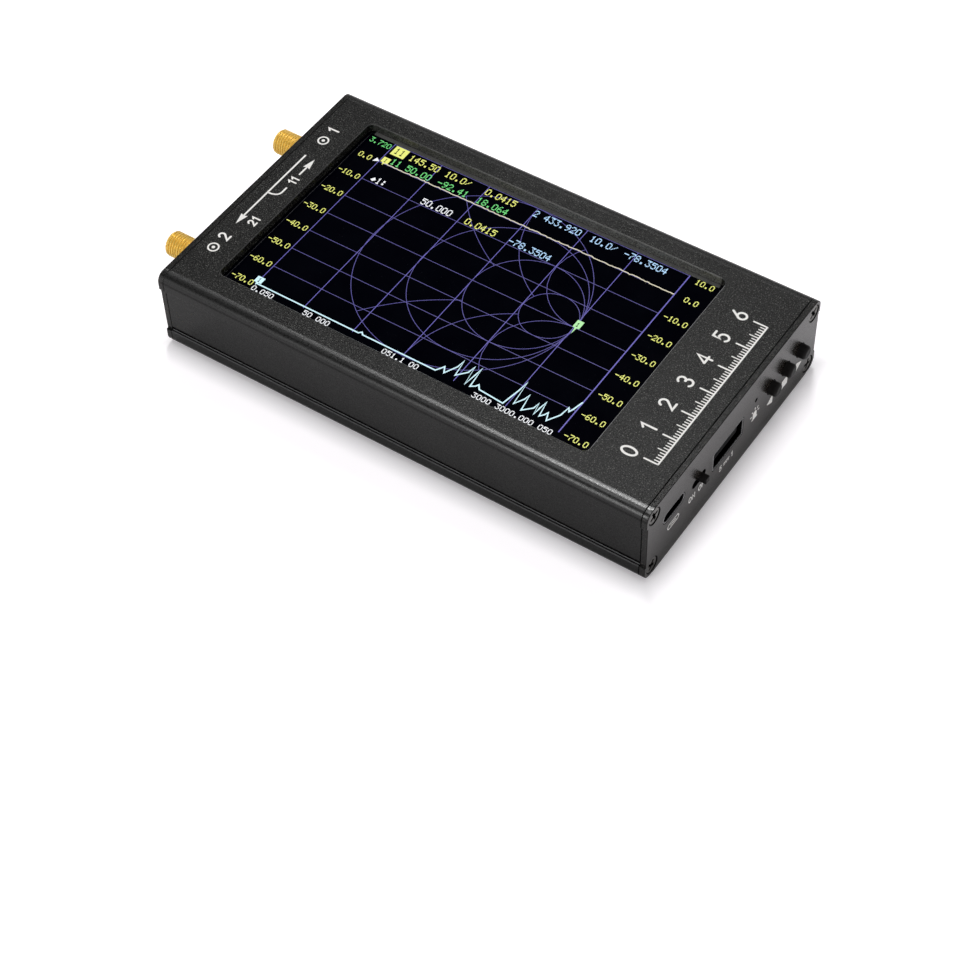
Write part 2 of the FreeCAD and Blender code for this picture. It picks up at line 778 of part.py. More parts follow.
def battery_leads():
    """Two leads from the end of the cell, turning up into the plug."""
    x0 = cell_front
    z0 = (cell_low + cell_top) / 2
    z1 = socket_floor() - PLUG_H / 2
    leads = []
    for side in (-1, 1):
        y = wire_y + side * WIRE_PITCH / 2
        bend = V(wire_x - WIRE_R, y, z0 + WIRE_R)
        corner = WIRE_R * math.sqrt(0.5)
        path = Part.Wire([
            Part.LineSegment(V(x0, y, z0), V(bend.x, y, z0)).toShape(),
            Part.Arc(V(bend.x, y, z0), V(bend.x + corner, y, bend.z - corner),
                     V(wire_x, y, bend.z)).toShape(),
            Part.LineSegment(V(wire_x, y, bend.z), V(wire_x, y, z1)).toShape(),
        ])
        ring = Part.Wire(Part.makeCircle(WIRE_D / 2, V(x0, y, z0), X_AXIS))
        leads.append(path.makePipeShell([ring], True, False))
    return group(leads)


def battery_plug():
    """Plug pushed up into the socket; the leads end inside it."""
    top = socket_floor() + SOCKET_H - SOCKET_WALL
    z0 = socket_floor() - PLUG_H / 2
    return box(wire_x - PLUG_L / 2, wire_x + PLUG_L / 2, wire_y - PLUG_W / 2,
               wire_y + PLUG_W / 2, z0, top - SNUG_FIT)


def battery_socket():
    half_l = PLUG_L / 2 + SOCKET_WALL
    half_wide = PLUG_W / 2 + SOCKET_WALL
    body = box(wire_x - half_l, wire_x + half_l, wire_y - half_wide, wire_y + half_wide,
               socket_floor(), board_low)
    hollow_l = PLUG_L / 2 + SNUG_FIT
    hollow_w = PLUG_W / 2 + SNUG_FIT
    hollow = box(wire_x - hollow_l, wire_x + hollow_l, wire_y - hollow_w, wire_y + hollow_w,
                 socket_floor(), board_low - SOCKET_WALL)
    return body.cut(hollow)


# ---------------------------------------------------------------- coaxial jacks
def sma_body(y):
    """Threaded barrel, flange behind the panel and four legs that grip the board."""
    z = board_mid_z
    radius = THREAD_D / 2
    barrel = [
        (jack_tip, JACK_BORE_D / 2),
        (jack_tip, radius - JACK_CHAMFER),
        (jack_tip + JACK_CHAMFER, radius),
        (nut_front - NECK_LEAD, radius),
        (nut_front - NECK_LEAD, neck_r),
        (-shell_x, neck_r),
        (-shell_x, INSULATOR_D / 2 + THREAD_FIT),
        (jack_face, INSULATOR_D / 2 + THREAD_FIT),
        (jack_face, JACK_BORE_D / 2),
    ]
    body = spun(barrel, y, z)
    flange = slab_x(rectangle(y, z, FLANGE_SIZE, FLANGE_SIZE, FLANGE_R), -shell_x, board_rear)
    flange = flange.cut(rod(INSULATOR_D / 2 + THREAD_FIT, -shell_x, board_rear, y, z))
    legs = []
    for side in (-1, 1):
        y0 = y + side * LEG_SPREAD / 2 - LEG_W / 2
        for low in (board_top, board_low - LEG_W):
            legs.append(box(board_rear, board_rear + LEG_L, y0, y0 + LEG_W, low, low + LEG_W))
    return body.multiFuse([flange] + legs).removeSplitter()


def sma_insulators():
    """PTFE sleeves between barrel and centre contact."""
    return group([spun([(jack_face, CONTACT_D / 2 + THREAD_FIT),
                        (jack_face, INSULATOR_D / 2),
                        (board_rear, INSULATOR_D / 2),
                        (board_rear, CONTACT_D / 2 + THREAD_FIT)], y, board_mid_z)
                  for y in port_ys])


def sma_contacts():
    """Centre contacts: a hollow socket at the mouth and a thin pin on the board."""
    contacts = []
    for y in port_ys:
        contacts.append(spun([
            (jack_face, CONTACT_HOLE_D / 2),
            (jack_face, CONTACT_D / 2),
            (board_rear, CONTACT_D / 2),
            (board_rear, PIN_D / 2),
            (board_rear + PIN_L, PIN_D / 2),
            (board_rear + PIN_L, 0),
            (jack_face + CONTACT_HOLE_DEPTH, 0),
            (jack_face + CONTACT_HOLE_DEPTH, CONTACT_HOLE_D / 2),
        ], y, board_mid_z))
    return group(contacts)


def sma_lock_washers():
    bore = THREAD_D / 2 + PANEL_HOLE_FIT
    x0, x1 = -front_x - WASHER_T, -front_x
    return group([spun([(x0, bore), (x0, WASHER_D / 2), (x1, WASHER_D / 2), (x1, bore)],
                       y, board_mid_z) for y in port_ys])


def sma_nuts():
    """Thin hex nuts with chamfered corners."""
    x0, x1 = nut_front, nut_front + NUT_T
    corner = NUT_AF / 2 / math.cos(math.pi / 6)
    nuts = []
    for y in port_ys:
        corners = []
        for i in range(6):
            angle = math.pi / 6 + i * math.pi / 3
            corners.append((y + corner * math.cos(angle), board_mid_z + corner * math.sin(angle), 0))
        nut = slab_x(corners, x0, x1)
        fall = corner - NUT_AF / 2
        dome = spun([(x0, 0), (x0, NUT_AF / 2), (x0 + fall, corner), (x1, corner), (x1, 0)],
                    y, board_mid_z)
        bore = rod(neck_r + THREAD_FIT, x0, x1, y, board_mid_z)
        nuts.append(nut.common(dome).cut(bore))
    return group(nuts)


# ---------------------------------------------------------------- USB connectors
def board_tabs(y, half, low, x):
    """Two bent tabs that solder a connector's shell to the top of the board."""
    tabs = []
    for side in (-1, 1):
        inner = half - USB_TAB_T
        outer = half + USB_TAB_W
        ys = sorted((y + side * inner, y + side * outer))
        rise = sorted((y + side * inner, y + side * half))
        tabs.append(box(x, x + USB_TAB_L, ys[0], ys[1], board_top, board_top + LEAD_T))
        tabs.append(box(x, x + USB_TAB_L, rise[0], rise[1], low, board_top + LEAD_T))
    return tabs


def usb_c_shell():
    outer = slab_x(pill(usb_c_y, board_mid_z, USB_C_W, USB_C_H), usb_c_back, front_x)
    wall = 2 * USB_C_WALL
    inner = slab_x(pill(usb_c_y, board_mid_z, USB_C_W - wall, USB_C_H - wall),
                   usb_c_back, front_x)
    tabs = board_tabs(usb_c_y, USB_C_W / 2, board_mid_z, usb_c_back + USB_TAB_L)
    return outer.multiFuse(tabs).cut(inner).removeSplitter()


def usb_c_insulator():
    wall = 2 * (USB_C_WALL + SNUG_FIT)
    block = slab_x(pill(usb_c_y, board_mid_z, USB_C_W - wall, USB_C_H - wall),
                   usb_c_back, usb_c_back + USB_C_BLOCK_L)
    tongue = slab_x(rectangle(usb_c_y, board_mid_z, USB_C_TONGUE_W, USB_C_TONGUE_T,
                              USB_C_TONGUE_R),
                    usb_c_back, front_x - USB_C_TONGUE_SETBACK)
    return block.fuse(tongue).removeSplitter()


def usb_c_contacts():
    x1 = front_x - USB_C_TONGUE_SETBACK - USB_C_PIN_W
    x0 = x1 - USB_C_PIN_L
    pins = []
    for i in range(USB_C_PINS):
        y = usb_c_y + (i - (USB_C_PINS - 1) / 2) * USB_C_PIN_PITCH
        y0, y1 = y - USB_C_PIN_W / 2, y + USB_C_PIN_W / 2
        for side in (-1, 1):
            face = board_mid_z + side * USB_C_TONGUE_T / 2
            z0, z1 = sorted((face, face + side * USB_C_PIN_T))
            pins.append(box(x0, x1, y0, y1, z0, z1))
    return group(pins)


def usb_a_springs():
    """Bent fingers in the top and bottom of the shell that grip a plug."""
    inner = USB_A_H / 2 - USB_A_WALL
    x1 = front_x - USB_A_SPRING_SETBACK
    x0 = x1 - USB_A_SPRING_L
    bend = x1 - USB_A_SPRING_TIP
    springs = []
    for up in (-1, 1):
        for side in (-1, 1):
            y = usb_a_y + side * USB_A_SPRING_PITCH / 2
            wall = usb_a_z + up * (inner + USB_A_WALL / 2)
            deep = usb_a_z + up * (inner - USB_A_SPRING_DIP)
            thick = up * USB_A_SPRING_T
            corners = [
                (x0, wall, 0),
                (bend, deep, 0),
                (x1, deep + thick, 0),
                (x1, deep + 2 * thick, 0),
                (bend, deep + thick, 0),
                (x0, wall + thick / 2, 0),
            ]
            springs.append(slab_y(corners, y - USB_A_SPRING_W / 2, y + USB_A_SPRING_W / 2))
    return springs


def usb_a_shell():
    wall = 2 * USB_A_WALL
    outer = slab_x(rectangle(usb_a_y, usb_a_z, USB_A_W, USB_A_H, USB_A_R), usb_a_back, front_x)
    inner = slab_x(rectangle(usb_a_y, usb_a_z, USB_A_W - wall, USB_A_H - wall,
                             USB_A_R - USB_A_WALL), usb_a_back, front_x)
    tabs = board_tabs(usb_a_y, USB_A_W / 2, board_top - LEAD_T, usb_a_back + 2 * USB_TAB_L)
    shell = outer.multiFuse(tabs).cut(inner)
    return shell.multiFuse(usb_a_springs()).removeSplitter()


def tongue_low():
    return usb_a_z - USB_A_H / 2 + USB_A_WALL + USB_A_TONGUE_LIFT


def usb_a_insulator():
    """Block that closes the back of the shell, and the tongue in the lower half of the mouth."""
    wall = 2 * (USB_A_WALL + SNUG_FIT)
    block = slab_x(rectangle(usb_a_y, usb_a_z, USB_A_W - wall, USB_A_H - wall,
                             USB_A_R - USB_A_WALL),
                   usb_a_back, usb_a_back + USB_A_BLOCK_L)
    low = tongue_low()
    half = USB_A_TONGUE_W / 2
    tongue = box(usb_a_back, front_x - USB_A_TONGUE_SETBACK, usb_a_y - half, usb_a_y + half,
                 low, low + USB_A_TONGUE_T)
    return block.fuse(tongue).removeSplitter()


def usb_a_contacts():
    x1 = front_x - USB_A_TONGUE_SETBACK - USB_A_PIN_W
    x0 = x1 - USB_A_PIN_L
    low = tongue_low() + USB_A_TONGUE_T
    pins = []
    for offset in USB_A_PIN_YS:
        y0 = usb_a_y + offset - USB_A_PIN_W / 2
        pins.append(box(x0, x1, y0, y0 + USB_A_PIN_W, low, low + USB_A_PIN_T))
    return group(pins)


# ---------------------------------------------------------------- slide switch
def knob_slot_w():
    return KNOB_W + SWITCH_TRAVEL + 2 * SLIDE_FIT


def power_switch_frame():
    """Folded steel frame, open at the back, with a slot for the knob."""
    outer = box(frame_back, frame_front, switch_y - FRAME_W / 2, switch_y + FRAME_W / 2,
                switch_z - FRAME_H / 2, switch_z + FRAME_H / 2)
    half_wide = FRAME_W / 2 - FRAME_T
    half_high = FRAME_H / 2 - FRAME_T
    inner = box(frame_back, frame_front - FRAME_T, switch_y - half_wide, switch_y + half_wide,
                switch_z - half_high, switch_z + half_high)
    high = KNOB_H / 2 + SLIDE_FIT
    slot = box(frame_front - FRAME_T, frame_front, switch_y - knob_slot_w() / 2,
               switch_y + knob_slot_w() / 2, switch_z - high, switch_z + high)
    return outer.cut([inner, slot])


def power_switch_base():
    return box(base_back, frame_back, switch_y - FRAME_W / 2, switch_y + FRAME_W / 2,
               switch_z - FRAME_H / 2, switch_z + FRAME_H / 2)


def power_switch_contacts():
    """Fixed contacts on the base, and their leads under the board."""
    contacts = []
    for i in range(SWITCH_LEADS):
        y = switch_y + (i - (SWITCH_LEADS - 1) / 2) * SWITCH_LEAD_PITCH
        y0, y1 = y - LEAD_W / 2, y + LEAD_W / 2
        contacts.append(box(frame_back, frame_back + LEAD_T, y0, y1,
                            switch_z - LEAD_L / 2, switch_z + LEAD_L / 2))
        contacts.append(box(base_back - LEAD_L, base_back, y0, y1, board_low - LEAD_T, board_low))
    return group(contacts)


def power_switch_slider():
    """Slider inside the frame with the knob that reaches through the panel, at OFF."""
    y = switch_y + SWITCH_TRAVEL / 2
    half_high = FRAME_H / 2 - FRAME_T - SLIDE_FIT
    front = frame_front - FRAME_T - SLIDE_FIT
    plate = box(front - SLIDER_T, front, y - SLIDER_W / 2, y + SLIDER_W / 2,
                switch_z - half_high, switch_z + half_high)
    knob = slab_x(rectangle(y, switch_z, KNOB_W, KNOB_H, KNOB_R),
                  front - SLIDER_T / 2, front_x + KNOB_REACH)
    return plate.fuse(knob).removeSplitter()


# ---------------------------------------------------------------- push buttons
def button_housing(y):
    z = button_z
    outer = slab_x(rectangle(y, z, button_body, button_body, BODY_R), body_back, body_front)
    bore = rod(button_bore_r, body_back + BODY_BACK_T, body_front, y, z)
    return outer.cut(bore)


def button_cover(y):
    z = button_z
    plate = slab_x(rectangle(y, z, button_body, button_body, BODY_R), body_front, cover_front)
    return plate.cut(rod(BUTTON_D / 2 + COVER_FIT, body_front, cover_front, y, z))


def button_leads(y):
    """Two leads from the back of a body, lying on the board."""
    leads = []
    for side in (-1, 1):
        middle = y + side * BUTTON_LEAD_SPREAD / 2
        leads.append(box(body_back - LEAD_L, body_back, middle - LEAD_W / 2,
                         middle + LEAD_W / 2, board_top, board_top + LEAD_T))
    return leads


def dome_seat():
    return body_back + BODY_BACK_T


def button_plunger(y):
    """Round button: rounded tip, stem through cover and panel, rim and nub behind the cover."""
    z = button_z
    tip = front_x + BUTTON_REACH
    rim_front = body_front - RIM_FIT
    rim_back = rim_front - RIM_T
    nub = dome_seat() + dome_rise + DOME_T + DOME_GAP
    stem = rod(BUTTON_D / 2, rim_back, tip, y, z)
    tip_edges = [e for e in stem.Edges if e.BoundBox.XMin > tip - TOUCHING]
    stem = stem.makeFillet(BUTTON_TIP_R, tip_edges)
    rim = rod(button_bore_r - RIM_SIDE_GAP, rim_back, rim_front, y, z)
    return stem.multiFuse([rim, rod(NUB_D / 2, nub, rim_front, y, z)]).removeSplitter()


def snap_dome(y):
    """Thin domed disc under a button."""
    radius = button_bore_r - DOME_SIDE_GAP
    ball = (radius ** 2 + dome_rise ** 2) / (2 * dome_rise)
    centre = V(dome_seat() + dome_rise - ball, y, button_z)
    outer = Part.makeSphere(ball + DOME_T, centre)
    cap = outer.cut(Part.makeSphere(ball, centre))
    reach = radius + DOME_T
    keep = rod(reach, dome_seat(), dome_seat() + dome_rise + DOME_T, y, button_z)
    return cap.common(keep)


# ---------------------------------------------------------------- status light
def status_led():
    """Side-looking light on the board, behind its pinhole."""
    x1 = board_front
    block = box(x1 - LED_L, x1, led_y - LED_W / 2, led_y + LED_W / 2, board_top,
                board_top + LED_H)
    return block.fuse(rod(LED_LENS_D / 2, x1, x1 + LED_LENS_L, led_y, led_z)).removeSplitter()


# ---------------------------------------------------------------- the whole part
def parts():
    made = {
        "top_shell": top_shell(),
        "bottom_shell": bottom_shell(),
        "front_panel": front_panel(),
        "rear_panel": rear_panel(),
        "front_panel_screws": screws(1),
        "rear_panel_screws": screws(-1),
        "touch_glass": touch_glass(),
        "display_gasket": display_gasket(),
        "lcd_cell": lcd_cell(),
        "light_guide": light_guide(),
        "backlight_tray": backlight_tray(),
        "display_pads": display_pads(),
        "display_ribbon": display_ribbon(),
        "ribbon_connector": ribbon_connector(),
        "main_board": main_board(),
        "board_chips": board_chips(),
        "power_inductors": power_inductors(),
        "reference_crystal": reference_crystal(),
        "rf_shields": rf_shields(),
        "battery_cell": battery_cell(),
        "battery_pads": battery_pads(),
        "battery_leads": battery_leads(),
        "battery_plug": battery_plug(),
        "battery_socket": battery_socket(),
        "sma_insulators": sma_insulators(),
        "sma_contacts": sma_contacts(),
        "sma_lock_washers": sma_lock_washers(),
        "sma_nuts": sma_nuts(),
        "usb_c_shell": usb_c_shell(),
        "usb_c_insulator": usb_c_insulator(),
        "usb_c_contacts": usb_c_contacts(),
        "usb_a_shell": usb_a_shell(),
        "usb_a_insulator": usb_a_insulator(),
        "usb_a_contacts": usb_a_contacts(),
        "power_switch_frame": power_switch_frame(),
        "power_switch_base": power_switch_base(),
        "power_switch_contacts": power_switch_contacts(),
        "power_switch_slider": power_switch_slider(),
        "button_housings": group([button_housing(y) for y in button_ys]),
        "button_covers": group([button_cover(y) for y in button_ys]),
        "button_leads": group([lead for y in button_ys for lead in button_leads(y)]),
        "status_led": status_led(),
    }
    for number, y in enumerate(port_ys, start=1):
        made[f"sma_body_{number}"] = sma_body(y)
    for name, y in zip(BUTTON_NAMES, button_ys):
        made[name + "_button"] = button_plunger(y)
        made[name + "_snap_dome"] = snap_dome(y)
    return made


os.makedirs("parts", exist_ok=True)
for node, solid in parts().items():
    save(node, solid)
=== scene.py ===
"""Looks of the pocket antenna analyzer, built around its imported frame.

Lengths are millimetres and become metres where a mesh is made.  +X is the control end, -X the
port end, +Y the push-button side and +Z up.
"""
import bmesh
import bpy
import math
import random
from mathutils import Matrix, Vector


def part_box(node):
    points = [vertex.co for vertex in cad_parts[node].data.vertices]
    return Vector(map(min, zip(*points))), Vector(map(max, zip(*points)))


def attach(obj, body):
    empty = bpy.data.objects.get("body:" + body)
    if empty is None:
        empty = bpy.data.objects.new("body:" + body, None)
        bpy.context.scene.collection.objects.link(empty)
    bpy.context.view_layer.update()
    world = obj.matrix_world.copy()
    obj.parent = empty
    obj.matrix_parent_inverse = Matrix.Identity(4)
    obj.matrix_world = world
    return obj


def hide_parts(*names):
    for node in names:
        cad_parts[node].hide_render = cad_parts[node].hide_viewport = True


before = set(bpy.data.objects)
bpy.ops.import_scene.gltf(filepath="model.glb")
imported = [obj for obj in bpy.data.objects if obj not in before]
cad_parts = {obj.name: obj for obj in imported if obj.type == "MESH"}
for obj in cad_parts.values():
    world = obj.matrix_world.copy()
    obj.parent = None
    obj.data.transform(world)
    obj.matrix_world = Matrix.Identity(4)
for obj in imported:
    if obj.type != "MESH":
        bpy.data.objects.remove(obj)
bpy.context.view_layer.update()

MM = 0.001
TAU = 2 * math.pi


def span(node):
    """Lowest and highest corner of a CAD node, in millimetres."""
    low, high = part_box(node)
    return low / MM, high / MM


def middle(node):
    low, high = span(node)
    return (low + high) / 2


def ends(node):
    """Lowest and highest X of a CAD node."""
    low, high = span(node)
    return low.x, high.x


def placed(name, data):
    """A new object in the scene."""
    made = bpy.data.objects.new(name, data)
    bpy.context.scene.collection.objects.link(made)
    return made


# ---------------------------------------------------------------- sizes
CORNER_R = 2.4            # lengthwise rounding of the corner lobes
SIDE_INSET = 0.5          # side wall inside the lobes
LOBE_H = 4.45
FOOT_H = 4.75
FOOT_RISE = 0.25
FOOT_W = 3.25
FLOOR_T = 1.5
TOP_T = 2.2
WALL_T = 1.8
EDGE_R = 0.15
LEAST_R = 0.004           # radius left where an inset uses a corner up
LIP_W = 0.3               # seam, from outside in: lip, groove, bead, gap, wall foot
GROOVE_W = 0.3
GROOVE_DEPTH = 0.85
BEAD_W = 0.25
BEAD_RISE = 0.1
FOOT_GAP = 0.35
WALL_EDGE_RISE = 1.05
TONGUE_W = 0.8
TONGUE_H = 2.0
SHELL_FIT = 0.1
RAIL_W = 1.3
RAIL_T = 1.0
SNUG_FIT = 0.05
BOSS_R = 2.3              # ridges round the screw channels
CHANNEL_R = 1.25
SEAM_BREAK = 0.15         # broken edge where top shell and end panel meet
LIP_BREAK = 0.09          # the same on the bottom shell, whose bead is thin
BEYOND = 1.0              # cutters reach this far past what they cut
WINDOW_REAR = 11.2        # margins of the opening in the top face
WINDOW_FRONT = 20.1
WINDOW_NEAR = 8.3
WINDOW_FAR = 6.9
WINDOW_R = 1.6
WINDOW_CHAMFER = 0.25
GLASS_EDGE = 0.15
GASKET_SHOWS = 0.95       # strip of gasket that shows beside the glass on the far side
GASKET_EDGE, GASKET_FIT = 0.03, 0.02
PRINT_T = 0.015           # thickness of printed marks

HEAD_D = 3.96
HEAD_RIM = 0.1
SHANK_R = 1.22
SHANK_POINT = 0.6
SINK_R = 2.3
SINK_BORE_R = 1.35
# cross recess: depth below the head's face, width and length of the arms
CROSS_LEVELS = ((1.5, 0.42, 1.1), (0.825, 0.62, 2.1), (0.0, 0.8, 3.0), (-0.3, 0.9, 3.3))
CROSS_TURN = 37.0         # degrees from each screw's recess to the next

USB_WALL = 0.3
USB_C_W, USB_C_H = 8.94, 3.26
USB_A_W, USB_A_H, USB_A_R = 13.1, 5.7, 0.5
USB_FIT = 0.16            # panel holes are this much wider than the shells
BLOCK_FIT = 0.7           # socket blocks are this much narrower than the shells
OVERLAP = 0.1             # joined solids of one piece reach this far into each other
TAB_T, TAB_L, TAB_REACH, TAB_R = 0.2, 1.4, 1.2, 0.03
USB_C_TAB_X, USB_A_TAB_X = 1.4, 2.8             # tabs ahead of each shell's back
DIMPLE_R, DIMPLE_H, DIMPLE_SUNK = 0.28, 0.14, 0.05
DIMPLE_SIDE, DIMPLE_BACK = 1.65, 0.9            # from the socket's middle and mouth
USB_C_TONGUE, USB_C_BLOCK_L = (6.69, 0.7), 1.2
GUARD_W, GUARD_T = 6.3, 0.12
GUARD_BACK, GUARD_FRONT = 0.5, 0.02             # its ends, from the tongue's tip
USB_A_TONGUE, USB_A_BLOCK_L = (11.1, 1.84), 2.4
USB_A_TONGUE_RISE = 1.82  # middle of the tongue above the shell's inner floor
SPRING_SIDE, SPRING_W, SPRING_T, SPRING_DIP = 2.8, 2.0, 0.25, 0.55
SPRING_BACK = 1.95        # spring tips behind the shell's mouth

SLOT_L, SLOT_H = 5.6, 2.2
KNOB_W, KNOB_H, KNOB_ROOT = 1.6, 1.7, 0.8
FRAME_INSIDE = 0.35       # the slider's plate ends this far behind the frame's front
BUTTON_R = 1.7
BUTTON_HOLE_R = 1.865
BUTTON_TIP_R = 0.7
DISH_R, DISH_DEPTH = 0.3, 0.02            # hollow of the button's face
DISH_RING, DISH_FALL = 0.1, 0.0005        # ring round it: width, and fall towards it
STEM_R, STEM_EDGE = 0.8, 0.1
RIM_T, RIM_EDGE = 0.8, 0.05
COVER_GAP = 0.1           # between a button's rim and the steel cover
LED_HOLE_R = 0.5

THREAD_R = 3.175
THREAD_PITCH = 25.4 / 36
THREAD_DEPTH = 0.36
THREAD_STEPS = 12         # rings of points in one pitch
THREAD_CREST, THREAD_FLANK = 0.14, 0.3          # half a crest and a flank, in pitches
THREAD_ROOT = THREAD_R - THREAD_DEPTH - 0.12    # radius at the chamfered start
THREAD_CHAMFER = 0.9      # slope of that chamfer
NECK_R = 2.945
JACK_BORE_R = 2.3
INSULATOR_R = 2.05
CORE_FIT = 0.02
CONTACT_R = 0.635
CONTACT_HOLE_R = 0.47
CONTACT_HOLE_L = 3.0
CONTACT_TAIL_R = 0.38
AXIS_R = 0.01             # radius that stands for the axis
PANEL_BORE_R = 3.25
FLANGE, FLANGE_R, FLANGE_EDGE = 8.6, 0.5, 0.1
LEG_SIDE, LEG_W, LEG_R = 2.7, 1.0, 0.12
NUT_ACROSS, NUT_CORNER_R = 8.0, 0.12
NUT_BREAK = (0.15, 0.25)  # length and depth of the broken corners at the panel
NUT_FACE = 0.1            # the nut's round outer face lies this far inside its flats
NUT_SINK = (0.3, 0.4)     # countersink of its bore: depth, and reach past the thread
TEETH, TOOTH_H, TOOTH_SHARE = 18, 0.45, 0.45

# ---------------------------------------------------------------- places read from the frame
shell_low, shell_high = span("top_shell")
case_high = span("front_panel")[1]
half_w = case_high.y
HEIGHT = case_high.z
top_z = HEIGHT - PRINT_T
shell_x = shell_high.x
front_x = case_high.x
wall_y = half_w - SIDE_INSET
inner_y = wall_y - WALL_T
seat_z = shell_low.z
top_under = HEIGHT - TOP_T
lobe_z = HEIGHT - LOBE_H

screws_low, screws_high = span("front_panel_screws")
screw_y = screws_high.y - HEAD_D / 2
screw_top_z = screws_high.z - HEAD_D / 2
screw_low_z = screws_low.z + HEAD_D / 2
screw_face = screws_high.x
boss_y = screw_y - BOSS_R
screw_places = [(side * screw_y, z) for side in (1, -1) for z in (screw_top_z, screw_low_z)]

window_l = 2 * front_x - WINDOW_REAR - WINDOW_FRONT
window_w = 2 * half_w - WINDOW_NEAR - WINDOW_FAR
window_x = (WINDOW_REAR - WINDOW_FRONT) / 2
window_y = (WINDOW_NEAR - WINDOW_FAR) / 2
window_front = window_x + window_l / 2
window_near, window_far = window_y - window_w / 2, window_y + window_w / 2
glass_low, glass_high = span("touch_glass")
glass_top = glass_high.z

board_low, board_top = (corner.z for corner in span("main_board"))
board_rear = span("main_board")[0].x
JACKS = ("sma_body_1", "sma_body_2")
jack_ys = [middle(node).y for node in JACKS]
jack_z = middle("sma_contacts").z
usb_c_y, usb_c_z = middle("usb_c_shell").yz
usb_a_y = middle("usb_a_shell").y
usb_a_z = span("usb_a_shell")[0].z + USB_A_H / 2
switch_y, switch_z = middle("power_switch_frame").yz
led_y, led_z = middle("status_led").yz
BUTTONS = ("left_button", "centre_button", "right_button")
button_ys = [middle(node).y for node in BUTTONS]
button_z = middle(BUTTONS[0]).z


# ---------------------------------------------------------------- outlines
def outline(corners, steps=8, inset=0.0):
    """Points of the closed outline through corners (u, v, radius), moved inwards by inset.

    A rounded corner has steps + 1 points and a sharp one has one point, whatever the inset, so
    that outlines of the same corners can be joined ring to ring."""
    area = sum(a[0] * b[1] - b[0] * a[1] for a, b in zip(corners[-1:] + corners, corners))
    ring = corners if area > 0 else corners[::-1]
    lines = []
    for (u, v, _), following in zip(ring, ring[1:] + ring[:1]):
        way = Vector((following[0] - u, following[1] - v)).normalized()
        lines.append((Vector((u, v)) + Vector((-way.y, way.x)) * inset, way))
    points = []
    for (_, _, radius), (start, back), (here, ahead) in zip(ring, lines[-1:] + lines, lines):
        turn = back.x * ahead.y - back.y * ahead.x
        gap = here - start
        corner = start + back * ((gap.x * ahead.y - gap.y * ahead.x) / turn)
        if not radius:
            points.append(corner)
            continue
        side = math.copysign(1, turn)
        r = max(radius - inset * side, LEAST_R)
        angle = math.atan2(turn, back.dot(ahead))
        first = corner - back * r * math.tan(abs(angle) / 2)
        centre = first + Vector((-back.y, back.x)) * r * side
        points += [centre + Matrix.Rotation(angle * k / steps, 2) @ (first - centre)
                   for k in range(steps + 1)]
    return points


def rectangle(u, v, width, height, radius):
    signs = ((1, -1), (1, 1), (-1, 1), (-1, -1))
    return [(u + a * width / 2, v + b * height / 2, radius) for a, b in signs]


def pill(u, v, width, height):
    return rectangle(u, v, width, height, height / 2 - 0.001)


def mirrored(half):
    return half + [(-u, v, radius) for u, v, radius in reversed(half)]


def arc(u, v, radius_u, radius_v, start, stop, steps=10):
    """Points of an elliptic arc between two angles in degrees."""
    angles = [math.radians(start + (stop - start) * k / steps) for k in range(steps + 1)]
    return [(u + radius_u * math.cos(a), v + radius_v * math.sin(a)) for a in angles]


def circle(u, v, radius, steps=48):
    return arc(u, v, radius, radius, 0, 360, steps)[:-1]


def rounding(radius, steps=3):
    """(depth behind the face, inset) of a rounded edge, from its start to the face."""
    angles = [math.pi / 2 * k / steps for k in range(steps + 1)]
    return [(radius - radius * math.sin(a), radius - radius * math.cos(a)) for a in angles]


# ---------------------------------------------------------------- solids and pieces
def loft(rings, closed=False):
    """Vertices and faces of a solid through rings of points, capped or closed on itself."""
    count = len(rings[0])
    last = (len(rings) - 1) * count
    faces = []
    for a in range(0, last + count if closed else last, count):
        b = a + count if a < last else 0
        faces += [(a + i, a + (i + 1) % count, b + (i + 1) % count, b + i) for i in range(count)]
    if not closed:
        faces += [tuple(range(count))[::-1], tuple(range(last, last + count))]
    return [p for ring in rings for p in ring], faces


def merged(*solids):
    verts, faces = [], []
    for more_verts, more_faces in solids:
        shift = len(verts)
        verts += more_verts
        faces += [tuple(i + shift for i in face) for face in more_faces]
    return verts, faces


def along_x(corners, levels, steps=8, closed=False):
    """Solid with outlines in Y and Z at levels (x, inset)."""
    return loft([[(x, p.x, p.y) for p in outline(corners, steps, inset)]
                 for x, inset in levels], closed)


def along_z(corners, levels, steps=8):
    """Solid with outlines in X and Y at levels (z, inset)."""
    return loft([[(p.x, p.y, z) for p in outline(corners, steps, inset)] for z, inset in levels])


def lathe(rows, y, z, segments=64, closed=False):
    """Solid turned about a line along X.  Rows are (x, radius or function of the angle)."""
    rings = []
    for x, radius in rows:
        angles = [TAU * k / segments for k in range(segments)]
        radii = [radius(a) if callable(radius) else radius for a in angles]
        rings.append([(x, y + r * math.cos(a), z + r * math.sin(a)) for a, r in zip(angles, radii)])
    return loft(rings, closed)


def block(x0, x1, y, z, width, height, radius=0.1, edge=0.08, steps=4):
    """Moulded block along X with rounded edges."""
    return along_x(rectangle(y, z, width, height, radius),
                   [(x0, edge), (x0 + edge, 0)] + [(x1 - d, i) for d, i in rounding(edge)], steps)


def flipped(solid):
    """The solid carried to the port end by half a turn about Z."""
    verts, faces = solid
    return [(-x, -y, z) for x, y, z in verts], faces


